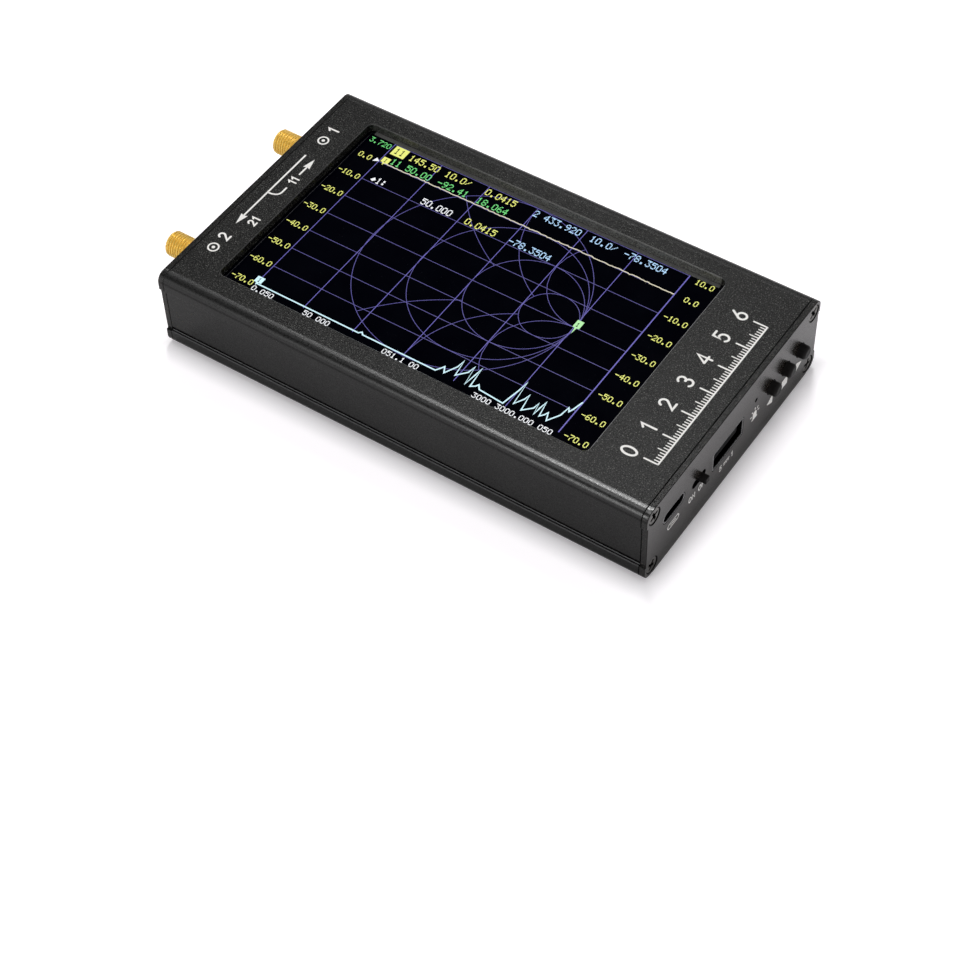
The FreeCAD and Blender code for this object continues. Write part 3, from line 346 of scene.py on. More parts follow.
def write_mesh(mesh, verts, faces, others=()):
    """Fills a mesh with a solid in millimetres and with other meshes, its normals outward."""
    made = bpy.data.meshes.new("solid")
    made.from_pydata([Vector(v) * MM for v in verts], [], faces)
    work = bmesh.new()
    for part in (*others, made):
        work.from_mesh(part)
    bmesh.ops.recalc_face_normals(work, faces=work.faces)
    work.to_mesh(mesh)
    work.free()
    bpy.data.meshes.remove(made)


def piece(name, solids, body="case"):
    """A new object from closed solids; it rides on a body."""
    made = placed(name, bpy.data.meshes.new(name))
    write_mesh(made.data, *merged(*solids))
    if body:
        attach(made, body)
    return made


def cut(made, cutters, operation="DIFFERENCE"):
    """Boolean with closed solids that don't touch each other."""
    tool = piece("cutter", cutters, body=None)
    change = made.modifiers.new("cut", "BOOLEAN")
    change.operation = operation
    change.solver = "EXACT"
    change.object = tool
    graph = bpy.context.evaluated_depsgraph_get()
    mesh = bpy.data.meshes.new_from_object(made.evaluated_get(graph))
    made.modifiers.clear()
    old, made.data = made.data, mesh
    mesh.name = made.name
    bpy.data.meshes.remove(old)
    bpy.data.objects.remove(tool)


def dress(made, material, slot, nodes=(), angle=None):
    """Material, the nodes it stands for, and smooth faces with sharp edges above angle; slot is not
    used.
    """
    if angle:
        made.data.shade_smooth()
        made.data.set_sharp_from_angle(angle=math.radians(angle))
        even = made.modifiers.new("even", "WEIGHTED_NORMAL")
        even.keep_sharp = True
    made.data.materials.clear()
    made.data.materials.append(material)
    if nodes:
        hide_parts(*nodes)


def add(name, solids, material, slot, nodes=(), angle=None, body="case", cuts=()):
    """A finished piece from closed solids."""
    made = piece(name, solids, body)
    for cutters in cuts:
        cut(made, cutters)
    dress(made, material, slot, nodes, angle)


# ---------------------------------------------------------------- materials
WHITE = (1.0, 1.0, 1.0, 1.0)
# painted shade: a near-black tone laid on seams and on the walls of holes, where shade falls
PAINTED_SHADE_TONE = "060606"         # tone of seams and of the walls of holes
BLAST_DEPTH = 0.06
PALE_BAND = 0.1           # of the noise that picks the pale flecks out
# buffed roundings get this darker tone and more gloss, weighted to the -Y side as painted sheen and
# shade
BUFFED_TONE, BUFFED_GLOSS = "0c0c0c", 0.7
SIDE_TONES, SIDE_GLOSS = ("060606", "282827"), 0.12    # narrow sides of the end panels
# painted light: lighter tones for the far (+Y) wall of the screen opening, brighter towards +X
FAR_WALL_LIGHT_TONES = ("363634", "787874")
# painted highlight: pale tone on the seam's bead and on the broken edge of the screen opening
PAINTED_HIGHLIGHT_TONE = "8e8e90"      # bead and broken edge of the screen opening
UNLIT = "0a0a0a"          # metal in the dark of a socket


def srgb(code):
    """Linear colour of an RRGGBB code."""
    parts = [int(code[i:i + 2], 16) / 255 for i in (0, 2, 4)]
    return tuple(c / 12.92 if c < 0.04045 else ((c + 0.055) / 1.055) ** 2.4
                 for c in parts) + (1.0,)


class Nodes:
    """Short calls that add nodes to the tree of a material or of the world."""

    def __init__(self, tree):
        self.tree = tree

    def node(self, kind, **values):
        made = self.tree.nodes.new(kind)
        for key, value in values.items():
            if hasattr(made, key):
                setattr(made, key, value)
            else:
                made.inputs[key.replace("_", " ")].default_value = value
        return made

    def link(self, source, target):
        self.tree.links.new(source, target)

    def feed(self, socket, source):
        """Sets a socket to a number or colour, or links it."""
        if isinstance(source, (int, float, tuple)):
            socket.default_value = source
        else:
            self.link(source, socket)

    def ramp(self, source, *stops):
        """Colour ramp through two stops (position, colour); a colour may be a code."""
        made = self.node("ShaderNodeValToRGB")
        for element, (position, colour) in zip(made.color_ramp.elements, stops):
            element.position = position
            element.color = srgb(colour) if isinstance(colour, str) else colour
        self.link(source, made.inputs["Fac"])
        return made.outputs["Color"]

    def scaled(self, source, low, high, from_low=0.0, from_high=1.0):
        made = self.node("ShaderNodeMapRange", From_Min=from_low, From_Max=from_high,
                         To_Min=low, To_Max=high)
        self.link(source, made.inputs["Value"])
        return made.outputs["Result"]

    def mixed(self, a, b, factor, blend="MIX"):
        made = self.node("ShaderNodeMix", data_type="RGBA", blend_type=blend)
        for socket, source in ((0, factor), (6, a), (7, b)):
            self.feed(made.inputs[socket], srgb(source) if isinstance(source, str) else source)
        return made.outputs[2]

    def math(self, operation, first, *others):
        """Result of a Math node; with more than two values, of a chain of them."""
        for other in others or (0.0,):
            made = self.node("ShaderNodeMath", operation=operation)
            self.feed(made.inputs[0], first)
            self.feed(made.inputs[1], other)
            first = made.outputs[0]
        return first

    def axes(self, place):
        made = self.node("ShaderNodeSeparateXYZ")
        self.link(place, made.inputs[0])
        return made.outputs

    def seen(self):
        """1 for rays from the camera, off a glossy face or through a clear one."""
        path = self.node("ShaderNodeLightPath").outputs
        return self.math("MAXIMUM", path["Is Camera Ray"], path["Is Glossy Ray"],
                         path["Is Transmission Ray"])

    def above(self, source, at, width=0.1):
        """0 below and 1 above a place in millimetres, over a band of this width."""
        return self.scaled(source, 0.0, 1.0, (at - width / 2) * MM, (at + width / 2) * MM)

    def below(self, source, at, width=0.1):
        return self.scaled(source, 1.0, 0.0, (at - width / 2) * MM, (at + width / 2) * MM)

    def away(self, source, centre=0.0):
        """Distance from a place in millimetres along one axis."""
        return self.math("ABSOLUTE", self.math("SUBTRACT", source, centre * MM))


class Finish(Nodes):
    """A material on one Principled shader, with short calls that add its pattern."""

    def __init__(self, name, roughness, metallic=0.0, specular=0.5):
        self.material = bpy.data.materials.new(name)
        self.material.use_nodes = True
        super().__init__(self.material.node_tree)
        self.shader = self.tree.nodes["Principled BSDF"].inputs
        self.roughness = roughness
        self.shader["Roughness"].default_value = roughness
        self.shader["Metallic"].default_value = metallic
        self.shader["Specular IOR Level"].default_value = specular
        self.place = self.node("ShaderNodeTexCoord").outputs["Object"]

    def stretched(self, scale):
        """Place with each axis scaled, for grain that runs one way."""
        made = self.node("ShaderNodeVectorMath", operation="MULTIPLY")
        self.link(self.place, made.inputs[0])
        made.inputs[1].default_value = scale
        return made.outputs[0]

    def noise(self, size, detail=2.0, roughness=0.5, place=None):
        """Noise whose blobs are about size millimetres across."""
        made = self.node("ShaderNodeTexNoise", Scale=1 / (size * MM), Detail=detail,
                         Roughness=roughness)
        self.link(place or self.place, made.inputs["Vector"])
        return made.outputs["Fac"]

    def colour(self, source):
        self.link(source, self.shader["Base Color"])

    def rough(self, source, less=0.06, more=0.1):
        """Roughness that follows a noise round the material's own value."""
        spread = self.scaled(source, self.roughness - less, self.roughness + more, 0.3, 0.7)
        self.link(spread, self.shader["Roughness"])
        return spread

    def bump(self, source, depth):
        """Bump of the given depth in millimetres."""
        made = self.node("ShaderNodeBump", Strength=1.0, Distance=depth * MM)
        self.link(source, made.inputs["Height"])
        self.link(made.outputs["Normal"], self.shader["Normal"])


class Zones(Finish):
    """A finish with masks for zones of the case: 1 in the zone and 0 elsewhere."""

    def __init__(self, name, roughness, specular):
        super().__init__(name, roughness, specular=specular)
        self.x, self.y, self.z = self.axes(self.place)
        self.out_x, self.out_y = self.away(self.x), self.away(self.y)
        self.out_z = self.away(self.z, HEIGHT / 2)

    def product(self, *masks):
        return self.math("MULTIPLY", *masks)

    def buffed_edges(self):
        """The lengthwise roundings, which are buffed; the mask is stronger on the -Y side than on +Y,
        as painted sheen and shade that follow the lamps.
        """
        return self.product(self.scaled(self.y, 1.0, 0.4, -10 * MM, 10 * MM),
                            self.above(self.out_y, half_w - CORNER_R - 0.6, 0.4),
                            self.above(self.out_z, HEIGHT / 2 - CORNER_R + 1.0, 0.8))

    def calm_sides(self):
        """The side walls, whose blasting is finer than that of the flat top."""
        return self.above(self.out_y, half_w - CORNER_R - 0.3, 0.6)

    def bead(self):
        """Mask for a painted highlight on the narrow bead in the seam between the shells, and less on
        the lip beside it.
        """
        ridge = self.product(self.above(self.z, FOOT_H + 0.04, 0.06),
                             self.below(self.z, FOOT_H + 0.3),
                             self.above(self.out_y, half_w - LIP_W - GROOVE_W - BEAD_W - 0.1))
        lip = self.product(self.above(self.z, FOOT_H - 0.08, 0.05),
                           self.below(self.z, FOOT_H + 0.1),
                           self.above(self.out_y, half_w - LIP_W - 0.05))
        return self.math("MAXIMUM", self.product(ridge, 0.75), self.product(lip, 0.4))

    def near_window(self):
        """The inside of the screen opening and its broken edge."""
        return self.product(self.below(self.away(self.x, window_x), window_l / 2 + 0.4),
                            self.below(self.away(self.y, window_y), window_w / 2 + 0.4),
                            self.below(self.z, top_z - 0.03, 0.04),
                            self.above(self.z, top_under + 0.05))

    def window_rim(self):
        """The broken edge of the screen opening, for a painted highlight that is strongest where it
        faces the lamps.
        """
        end = self.product(self.above(self.x, window_front - 0.1),
                           self.below(self.y, window_far - WINDOW_R))
        near = self.product(self.below(self.y, window_near + 0.1), 0.6)
        return self.product(self.near_window(),
                            self.above(self.z, top_z - WINDOW_CHAMFER + 0.02, 0.04),
                            self.math("MAXIMUM", end, near, 0.15))

    def milled_walls(self):
        """The +Y wall of the screen opening, made lighter as painted light, more so towards +X."""
        return self.product(self.near_window(), self.above(self.y, window_far - 0.2),
                            self.below(self.x, window_front - WINDOW_R),
                            self.scaled(self.x, 0.25, 1.0, (window_x - window_l / 2) * MM,
                                        window_x * MM))

    def seams(self):
        """Mask for painted shade in the joint of control panel and shells, and less in the tighter
        joint at the rear.
        """
        return self.product(self.below(self.away(self.out_x, shell_x), 0.11, 0.06),
                            self.scaled(self.x, 0.3, 1.0, -30 * MM, 30 * MM))

    def panel_face(self):
        """The flat outer face of an end panel."""
        return self.above(self.out_x, front_x - 0.08, 0.06)

    def drilled_walls(self):
        """Mask for painted shade on the walls of the holes in an end panel and, less, on its outer
        edge.
        """
        behind = self.below(self.out_x, front_x - 0.03, 0.04)
        holes = self.product(behind, self.below(self.out_y, half_w - 0.9),
                             self.below(self.out_z, HEIGHT / 2 - 0.9))
        edge = self.product(self.above(self.out_x, front_x - EDGE_R + 0.02, 0.04), behind)
        return self.math("MAXIMUM", holes, self.product(edge, 0.8))


def anodized(name, dark, light, fleck, fleck_start, roughness, specular, grain, shell):
    """Sand-blasted and anodized aluminium: fine grain and pale flecks, with painted shade in seams
    and holes; on the shells also painted light on the far wall of the screen opening and painted
    highlights on the seam's bead and the opening's edge; the buffed roundings are darker and glossier
    on the -Y side as painted sheen and shade.
    """
    f = Zones(name, roughness, specular)
    fine = f.noise(grain, detail=3.0, roughness=0.65)
    edges, calm = f.buffed_edges(), f.calm_sides()
    broad = f.ramp(f.noise(14.0), (0.3, dark), (0.75, light))
    tint = f.mixed(f.ramp(fine, (0.34, dark), (0.68, light)), broad, 0.25)
    pale = f.scaled(f.noise(grain * 0.9, detail=1.0), 0.0, 1.0, fleck_start,
                    fleck_start + PALE_BAND)
    gloss = f.scaled(edges, specular if shell else SIDE_GLOSS, BUFFED_GLOSS)
    height = f.product(fine, f.scaled(calm, 1.0, 0.2))
    painted_shade = f.seams()
    if shell:
        # painted shade: darker tone on the buffed roundings, strongest on the -Y side
        tint = f.mixed(tint, BUFFED_TONE, f.product(edges, 0.7))
        # painted light on the far wall of the screen opening
        far_wall_light = f.ramp(fine, (0.35, FAR_WALL_LIGHT_TONES[0]), (0.7, FAR_WALL_LIGHT_TONES[1]))
        tint = f.mixed(tint, far_wall_light, f.milled_walls())
        # painted highlight on the bead and the opening's edge
        tint = f.mixed(tint, PAINTED_HIGHLIGHT_TONE, f.math("MAXIMUM", f.bead(), f.window_rim()))
        pale = f.product(pale, f.math("SUBTRACT", 1.0, calm))
    else:
        face = f.panel_face()
        side = f.math("SUBTRACT", 1.0, face)
        painted_shade = f.math("MAXIMUM", painted_shade, f.drilled_walls())
        side_tint = f.ramp(fine, (0.34, SIDE_TONES[0]), (0.68, SIDE_TONES[1]))
        tint = f.mixed(tint, side_tint, side)
        gloss = f.math("ADD", f.product(gloss, side), f.product(face, specular))
        height = f.product(height, f.scaled(face, 1.0, 0.35))
    # painted shade: seams and hole walls are mixed to a near-black tone and their gloss is lowered
    f.colour(f.mixed(f.mixed(tint, fleck, pale), PAINTED_SHADE_TONE, painted_shade))
    f.link(f.product(gloss, f.scaled(painted_shade, 1.0, 0.15)), f.shader["Specular IOR Level"])
    f.link(f.math("ADD", f.rough(fine), f.product(edges, 0.04)), f.shader["Roughness"])
    f.bump(height, BLAST_DEPTH)
    return f.material


def moulded(name, dark, light, roughness=0.5, specular=0.4, grain=0.12, depth=0.01):
    """Moulded plastic or rubber with a fine spark-eroded texture."""
    f = Finish(name, roughness, specular=specular)
    fine, broad = f.noise(grain), f.noise(3.0)
    f.colour(f.mixed(f.ramp(fine, (0.3, dark), (0.7, light)), dark,
                     f.scaled(broad, 0.0, 0.5, 0.3, 0.7)))
    f.rough(broad, 0.08, 0.08)
    f.bump(fine, depth)
    return f.material


def metal(name, dark, light, roughness=0.28, grain=0.3, stretch=(1, 1, 1), depth=0.004,
          lit_from=None, metallic=1.0):
    """Plated metal: tone and gloss vary along drawn or turned lines.

    Where lit_from is given, the metal is in the dark nearer the middle of the case than that x."""
    f = Finish(name, roughness, metallic)
    lines = f.noise(grain, detail=3.0, place=f.stretched(stretch))
    tint = f.mixed(f.ramp(lines, (0.3, dark), (0.7, light)), dark,
                   f.scaled(f.noise(4.0), 0.0, 0.6, 0.35, 0.75))
    if lit_from:
        tint = f.mixed(tint, UNLIT, f.below(f.away(f.axes(f.place)[0]), lit_from, 0.16))
    f.colour(tint)
    f.rough(lines)
    f.bump(lines, depth)
    return f.material


def glossy_glass(name):
    """Black face of the touch glass, with a coating that mirrors little and faint smudges."""
    f = Finish(name, 0.06, specular=0.02)
    smudge = f.noise(9.0, detail=4.0, roughness=0.6)
    specks = f.ramp(f.noise(0.25, detail=1.0), (0.76, "000000"), (0.8, "ffffff"))
    f.colour(f.mixed(f.ramp(smudge, (0.3, "010106"), (0.8, "03040a")), "26262a", specks))
    f.link(f.scaled(smudge, 0.03, 0.12, 0.3, 0.8), f.shader["Roughness"])
    return f.material


def lit(name, code, strength):
    """Picture element: it shines, and is brighter in the middle of each display dot."""
    f = Finish(name, 0.3, specular=0.1)
    f.shader["Base Color"].default_value = srgb("050505")
    dots = f.noise(0.15, detail=0.0)
    f.link(f.mixed(code, WHITE, f.scaled(dots, 0.0, 0.12, 0.4, 0.8)), f.shader["Emission Color"])
    f.link(f.scaled(dots, strength * 0.88, strength * 1.1, 0.3, 0.7),
           f.shader["Emission Strength"])
    return f.material


def ink(name, dark, light):
    """Silk-screened ink: slightly uneven cover on a grainy ground."""
    f = Finish(name, 0.55, specular=0.3)
    fine = f.noise(0.18, detail=3.0)
    f.colour(f.ramp(fine, (0.2, dark), (0.45, light)))
    f.bump(fine, 0.006)
    return f.material


# ---------------------------------------------------------------- case
def top_shell_corners():
    wall_edge_z = FOOT_H + WALL_EDGE_RISE
    foot_y = half_w - LIP_W - GROOVE_W - BEAD_W - FOOT_GAP
    rail_y = inner_y - RAIL_W
    slot_low = board_low - SNUG_FIT
    slot_top = board_top + SNUG_FIT
    return mirrored([
        (half_w, top_z, CORNER_R),
        (half_w, lobe_z, EDGE_R),
        (wall_y, lobe_z, EDGE_R / 2),
        (wall_y, wall_edge_z, EDGE_R),
        (foot_y, wall_edge_z, 0),
        (foot_y, seat_z, 0),
        (inner_y, seat_z, 0),
        (inner_y, slot_low - RAIL_T, 0),
        (rail_y, slot_low - RAIL_T, 0),
        (rail_y, slot_low, 0),
        (inner_y, slot_low, 0),
        (inner_y, slot_top, 0),
        (rail_y, slot_top, 0),
        (rail_y, slot_top + RAIL_T, 0),
        (inner_y, slot_top + RAIL_T, 0),
        (inner_y, screw_top_z - BOSS_R, 0),
        (boss_y, screw_top_z - BOSS_R, 0),
        (boss_y, top_under, 0),
    ])


foot_corners = [
    (half_w - FOOT_W - FOOT_RISE, 0, 0),
    (half_w - FOOT_W, FOOT_RISE, 0),
    (half_w, FOOT_RISE, CORNER_R),
]


def bottom_shell_corners():
    lip_y = half_w - LIP_W
    bead_out = lip_y - GROOVE_W
    bead_in = bead_out - BEAD_W
    tongue_y = inner_y - SHELL_FIT
    return mirrored(foot_corners + [
        (half_w, FOOT_H, EDGE_R / 2),
        (lip_y, FOOT_H, EDGE_R / 4),
        (lip_y, FOOT_H - GROOVE_DEPTH, 0),
        (bead_out, FOOT_H - GROOVE_DEPTH, 0),
        (bead_out, FOOT_H + BEAD_RISE, BEAD_W / 3),
        (bead_in, FOOT_H + BEAD_RISE, BEAD_W / 3),
        (bead_in, seat_z, 0),
        (tongue_y, seat_z, 0),
        (tongue_y, seat_z + TONGUE_H, 0),
        (tongue_y - TONGUE_W, seat_z + TONGUE_H, 0),
        (tongue_y - TONGUE_W, screw_low_z + BOSS_R, 0),
        (boss_y, screw_low_z + BOSS_R, 0),
        (boss_y, FLOOR_T, 0),
    ])


def panel_corners():
    return mirrored(foot_corners + [
        (half_w, FOOT_H, EDGE_R),
        (wall_y, FOOT_H, EDGE_R / 2),
        (wall_y, lobe_z, EDGE_R / 2),
        (half_w, lobe_z, EDGE_R),
        (half_w, top_z, CORNER_R),
    ])


def make_shells(material):
    window = rectangle(window_x, window_y, window_l, window_w, WINDOW_R)
    chamfer = [(top_z - WINDOW_CHAMFER, 0), (top_z + WINDOW_CHAMFER, -2 * WINDOW_CHAMFER)]
    hole = along_z(window, [(top_under - BEYOND, 0)] + chamfer, 12)
    for name, node, corners, broken, screw_z, holes in (
            ("top_cover", "top_shell", top_shell_corners(), SEAM_BREAK, screw_top_z, [[hole]]),
            ("bottom_cover", "bottom_shell", bottom_shell_corners(), LIP_BREAK, screw_low_z, [])):
        levels = [(-shell_x, broken), (broken - shell_x, 0), (shell_x - broken, 0), (shell_x, broken)]
        channels = [lathe([(-shell_x - BEYOND, CHANNEL_R), (shell_x + BEYOND, CHANNEL_R)],
                          side * screw_y, screw_z, 32) for side in (-1, 1)]
        add(name, [along_x(corners, levels, 16)], material, "case_black", [node], 32,
            cuts=holes + [channels])


def end_panel():
    """Plate at the control end, and the cutters of its four countersunk holes."""
    levels = [(shell_x, SEAM_BREAK), (shell_x + SEAM_BREAK, 0)]
    levels += [(front_x - depth, inset) for depth, inset in rounding(EDGE_R)]
    over = 0.3
    sink = [(shell_x - BEYOND, SINK_BORE_R), (front_x - (SINK_R - SINK_BORE_R), SINK_BORE_R),
            (front_x + over, SINK_R + over)]
    return along_x(panel_corners(), levels, 16), [lathe(sink, y, z) for y, z in screw_places]


def opening(corners, flare=0.1):
    """Cutter through the control panel with a broken outer edge."""
    return along_x(corners, [(shell_x - BEYOND, 0), (front_x - flare, 0),
                             (front_x + flare, -2 * flare)], 12)


def round_opening(y, z, radius, flare=0.1):
    return lathe([(shell_x - BEYOND, radius), (front_x - flare, radius),
                  (front_x + flare, radius + 2 * flare)], y, z)


def make_panels(material):
    panel, sinks = end_panel()
    holes = sinks + [
        opening(pill(usb_c_y, usb_c_z, USB_C_W + USB_FIT, USB_C_H + USB_FIT)),
        opening(pill(switch_y, switch_z, SLOT_L, SLOT_H)),
        opening(rectangle(usb_a_y, usb_a_z, USB_A_W + USB_FIT, USB_A_H + USB_FIT, USB_A_R)),
        round_opening(led_y, led_z, LED_HOLE_R),
    ] + [round_opening(y, button_z, BUTTON_HOLE_R) for y in button_ys]
    add("control_panel", [panel], material, "panel_black", ["front_panel"], 32, cuts=[holes])
    holes = sinks + [round_opening(-y, jack_z, PANEL_BORE_R) for y in jack_ys]
    add("port_panel", [flipped(panel)], material, "panel_black", ["rear_panel"], 32,
        cuts=[[flipped(hole) for hole in holes]])


def cross_corners(y, z, width, length, turn):
    """Plus-shaped outline, turned about its middle."""
    a, b = width / 2, length / 2
    corners = []
    for k in range(4):
        angle = math.radians(90 * k + turn)
        c, s = math.cos(angle), math.sin(angle)
        corners += [(y + u * c - v * s, z + u * s + v * c, r)
                    for u, v, r in ((b, -a, 0.12), (b, a, 0.12), (a, a, 0.1))]
    return corners


def make_screws(name, node, material, carry):
    """Four countersunk screws, each with its recess stopped at another angle."""
    r = HEAD_D / 2
    chamfer = HEAD_RIM * 0.3
    cone_end = screw_face - HEAD_RIM - (r - SHANK_R)
    rows = [(screw_face, r - HEAD_RIM), (screw_face - chamfer, r - chamfer),
            (screw_face - HEAD_RIM, r), (cone_end, SHANK_R),
            (screws_low.x + SHANK_POINT, SHANK_R), (screws_low.x, SHANK_R - SHANK_POINT)]
    crosses = []
    for order, (y, z) in enumerate(screw_places, 1):
        crosses.append(carry(loft([
            [(screw_face - depth, p.x, p.y)
             for p in outline(cross_corners(y, z, width, length, order * CROSS_TURN), 4)]
            for depth, width, length in CROSS_LEVELS])))
    add(name, [carry(lathe(rows, y, z, 48)) for y, z in screw_places], material, "screw_steel",
        [node], 28, cuts=[crosses])


# ---------------------------------------------------------------- coaxial jacks
def thread_radius(x, start):
    """Radius of a screw thread at x as a function of the angle, chamfered at its start."""
    def radius(angle):
        phase = (x / THREAD_PITCH - angle / TAU) % 1.0
        ridge = min(max((abs(phase - 0.5) - THREAD_CREST) / THREAD_FLANK, 0.0), 1.0)
        return min(THREAD_R - THREAD_DEPTH * ridge, THREAD_ROOT + (x - start) * THREAD_CHAMFER)
    return radius


def make_jack(name, node, y, material):
    """Threaded barrel, and behind the panel a flange with four legs that grip the board."""
    tip, leg_end = ends(node)
    face = ends("sma_insulators")[0]
    thread_end = ends("sma_nuts")[0] - 0.1
    bore = INSULATOR_R + CORE_FIT
    mouth = 0.15
    rows = [(face, bore), (face, JACK_BORE_R), (tip + mouth, JACK_BORE_R),
            (tip, JACK_BORE_R + mouth), (tip, THREAD_ROOT)]
    step = THREAD_PITCH / THREAD_STEPS
    for k in range(1, int((thread_end - tip) / step)):
        rows.append((tip + k * step, thread_radius(tip + k * step, tip)))
    rows += [(thread_end, NECK_R), (-shell_x, NECK_R), (-shell_x, bore)]
    made = piece(name, [lathe(rows, y, jack_z, 72, closed=True)])
    edge = FLANGE_EDGE
    flange = piece("flange", [along_x(
        rectangle(y, jack_z, FLANGE, FLANGE, FLANGE_R),
        [(-shell_x, edge), (-shell_x + edge, 0), (board_rear - edge, 0), (board_rear, edge)], 6)],
        body=None)
    cut(flange, [lathe([(-shell_x - BEYOND, bore), (board_rear + BEYOND, bore)], y, jack_z, 48)])
    legs = [along_x(rectangle(y + side * LEG_SIDE, z, LEG_W, LEG_W, LEG_R),
                    [(board_rear, 0), (leg_end - edge, 0), (leg_end, edge)], 3)
            for side in (-1, 1) for z in (board_top + LEG_W / 2, board_low - LEG_W / 2)]
    write_mesh(made.data, *merged(*legs), others=(made.data, flange.data))
    bpy.data.objects.remove(flange)
    dress(made, material, "jack_gold", [node], 40)


def make_nut(name, y, material):
    """Thin hexagon nut: chamfered corners, countersunk bore."""
    low, high = ends("sma_nuts")
    flat = NUT_ACROSS / 2
    corner = flat / math.cos(math.pi / 6)
    hexagon = [(u, v, NUT_CORNER_R) for u, v in arc(y, jack_z, corner, corner, 30, 330, 5)]
    made = piece(name, [along_x(hexagon, [(low, 0.0), (high, 0.0)], 3)])
    over = 0.01
    break_l, break_depth = NUT_BREAK
    turned = [(low - over, flat - NUT_FACE), (low + corner - flat, corner),
              (high - break_l, corner), (high + over, corner - break_depth)]
    cut(made, [lathe(turned, y, jack_z, 96)], "INTERSECT")
    bore = NECK_R + CORE_FIT
    depth, reach = NUT_SINK
    cut(made, [lathe([(low - depth, THREAD_R + reach), (low + depth, bore), (high + BEYOND, bore)],
                     y, jack_z)])
    dress(made, material, "jack_gold", ["sma_nuts"], 30)


def washer(y):
    """Lock washer with inner teeth."""
    low, high = ends("sma_lock_washers")
    outer = span("sma_lock_washers")[1].y - jack_ys[0]
    edge = 0.05

    def toothed(angle):
        return PANEL_BORE_R + (TOOTH_H if (angle / TAU * TEETH) % 1 < TOOTH_SHARE else 0.0)

    rows = [(low, toothed), (low, outer - edge), (low + edge, outer), (high - edge, outer),
            (high, outer - edge), (high, toothed)]
    return lathe(rows, y, jack_z, 180, closed=True)


def make_port_cores(white, gold):
    """Insulators and slotted centre contacts in the jacks' mouths."""
    low, high = ends("sma_insulators")
    pin_end = ends("sma_contacts")[1]
    edge, lip, tail_edge, cone = 0.08, 0.06, 0.1, 0.2
    bore = CONTACT_R + CORE_FIT
    tail = CONTACT_TAIL_R
    sleeve = [(low, bore), (low, INSULATOR_R - edge), (low + edge, INSULATOR_R),
              (high, INSULATOR_R), (high, bore)]
    pin = [(low, CONTACT_HOLE_R + lip), (low, CONTACT_R - lip), (low + lip, CONTACT_R),
           (high, CONTACT_R), (high, tail), (pin_end - tail_edge, tail),
           (pin_end, tail - tail_edge), (pin_end, AXIS_R), (low + CONTACT_HOLE_L, AXIS_R),
           (low + CONTACT_HOLE_L - cone, CONTACT_HOLE_R), (low + lip, CONTACT_HOLE_R)]
    for name, node, rows, segments, material, slot in (
            ("port_insulators", "sma_insulators", sleeve, 64, white, "ptfe_white"),
            ("port_contacts", "sma_contacts", pin, 32, gold, "contact_gold")):
        add(name, [lathe(rows, y, jack_z, segments, closed=True) for y in jack_ys], material,
            slot, [node], 40)


def make_ports(gold, steel, white):
    for number, (node, y) in enumerate(zip(JACKS, jack_ys), 1):
        make_jack(f"port_{number}_jack", node, y, gold)
    for number, y in enumerate(jack_ys, 1):
        make_nut(f"port_{number}_nut", y, gold)
    add("port_lock_washers", [washer(y) for y in jack_ys], steel, "connector_steel",
        ["sma_lock_washers"], 30)
    make_port_cores(white, gold)


# ---------------------------------------------------------------- USB sockets
def tube(corners, back, front, steps):
    """Shell of sheet metal along X, open at both ends, with a rounded rim."""
    edge = USB_WALL / 2
    rim = [(front - edge * (1 - math.sin(a)), edge * (1 - math.cos(a)))
           for a in (math.pi * k / 8 for k in range(9))]
    return along_x(corners, [(back, 0)] + rim + [(back, USB_WALL)], steps, closed=True)


def tabs(y, half, low_z, x):
    """Two bent tabs, soldered to the board."""
    made = []
    for side in (-1, 1):
        root = half - USB_WALL / 2
        for end, z0, z1 in ((half + TAB_REACH, board_top, board_top + TAB_T),
                            (half, low_z, board_top)):
            made.append(along_x(rectangle(y + side * (root + end) / 2, (z0 + z1) / 2, end - root,
                                          z1 - z0, TAB_R), [(x, 0), (x + TAB_L, 0)], 2))
    return made


def dimple(x, y, z, up):
    """Small pressed dome on an inner wall, pointing up or down."""
    rings = []
    for k in range(5):
        angle = math.pi / 2 * k / 4.3       # the last ring stays short of the top
        r, rise = DIMPLE_R * math.cos(angle), DIMPLE_H * math.sin(angle) - DIMPLE_SUNK
        rings.append([(u, v, z + up * rise) for u, v in circle(x, y, r, 16)])
    return loft(rings)


def grip_spring(tip, y, inner, up):
    """Sprung finger of the USB-A shell: it bends in from the wall towards the plug."""
    low = inner - SPRING_DIP
    # distance behind the tip, height above the socket's middle, share of the full thickness
    line = [(5.0, inner + USB_WALL / 2, 0.5), (2.2, inner - SPRING_DIP * 0.7, 1.0),
            (1.25, low, 1.0), (0.5, low + SPRING_T * 0.3, 1.0), (0.0, low + SPRING_T, 1.0)]
    return loft([[(tip - back, y + a * SPRING_W / 2, usb_a_z + up * (height + b * SPRING_T * share))
                  for a, b in ((-1, 0), (1, 0), (1, 1), (-1, 1))] for back, height, share in line])


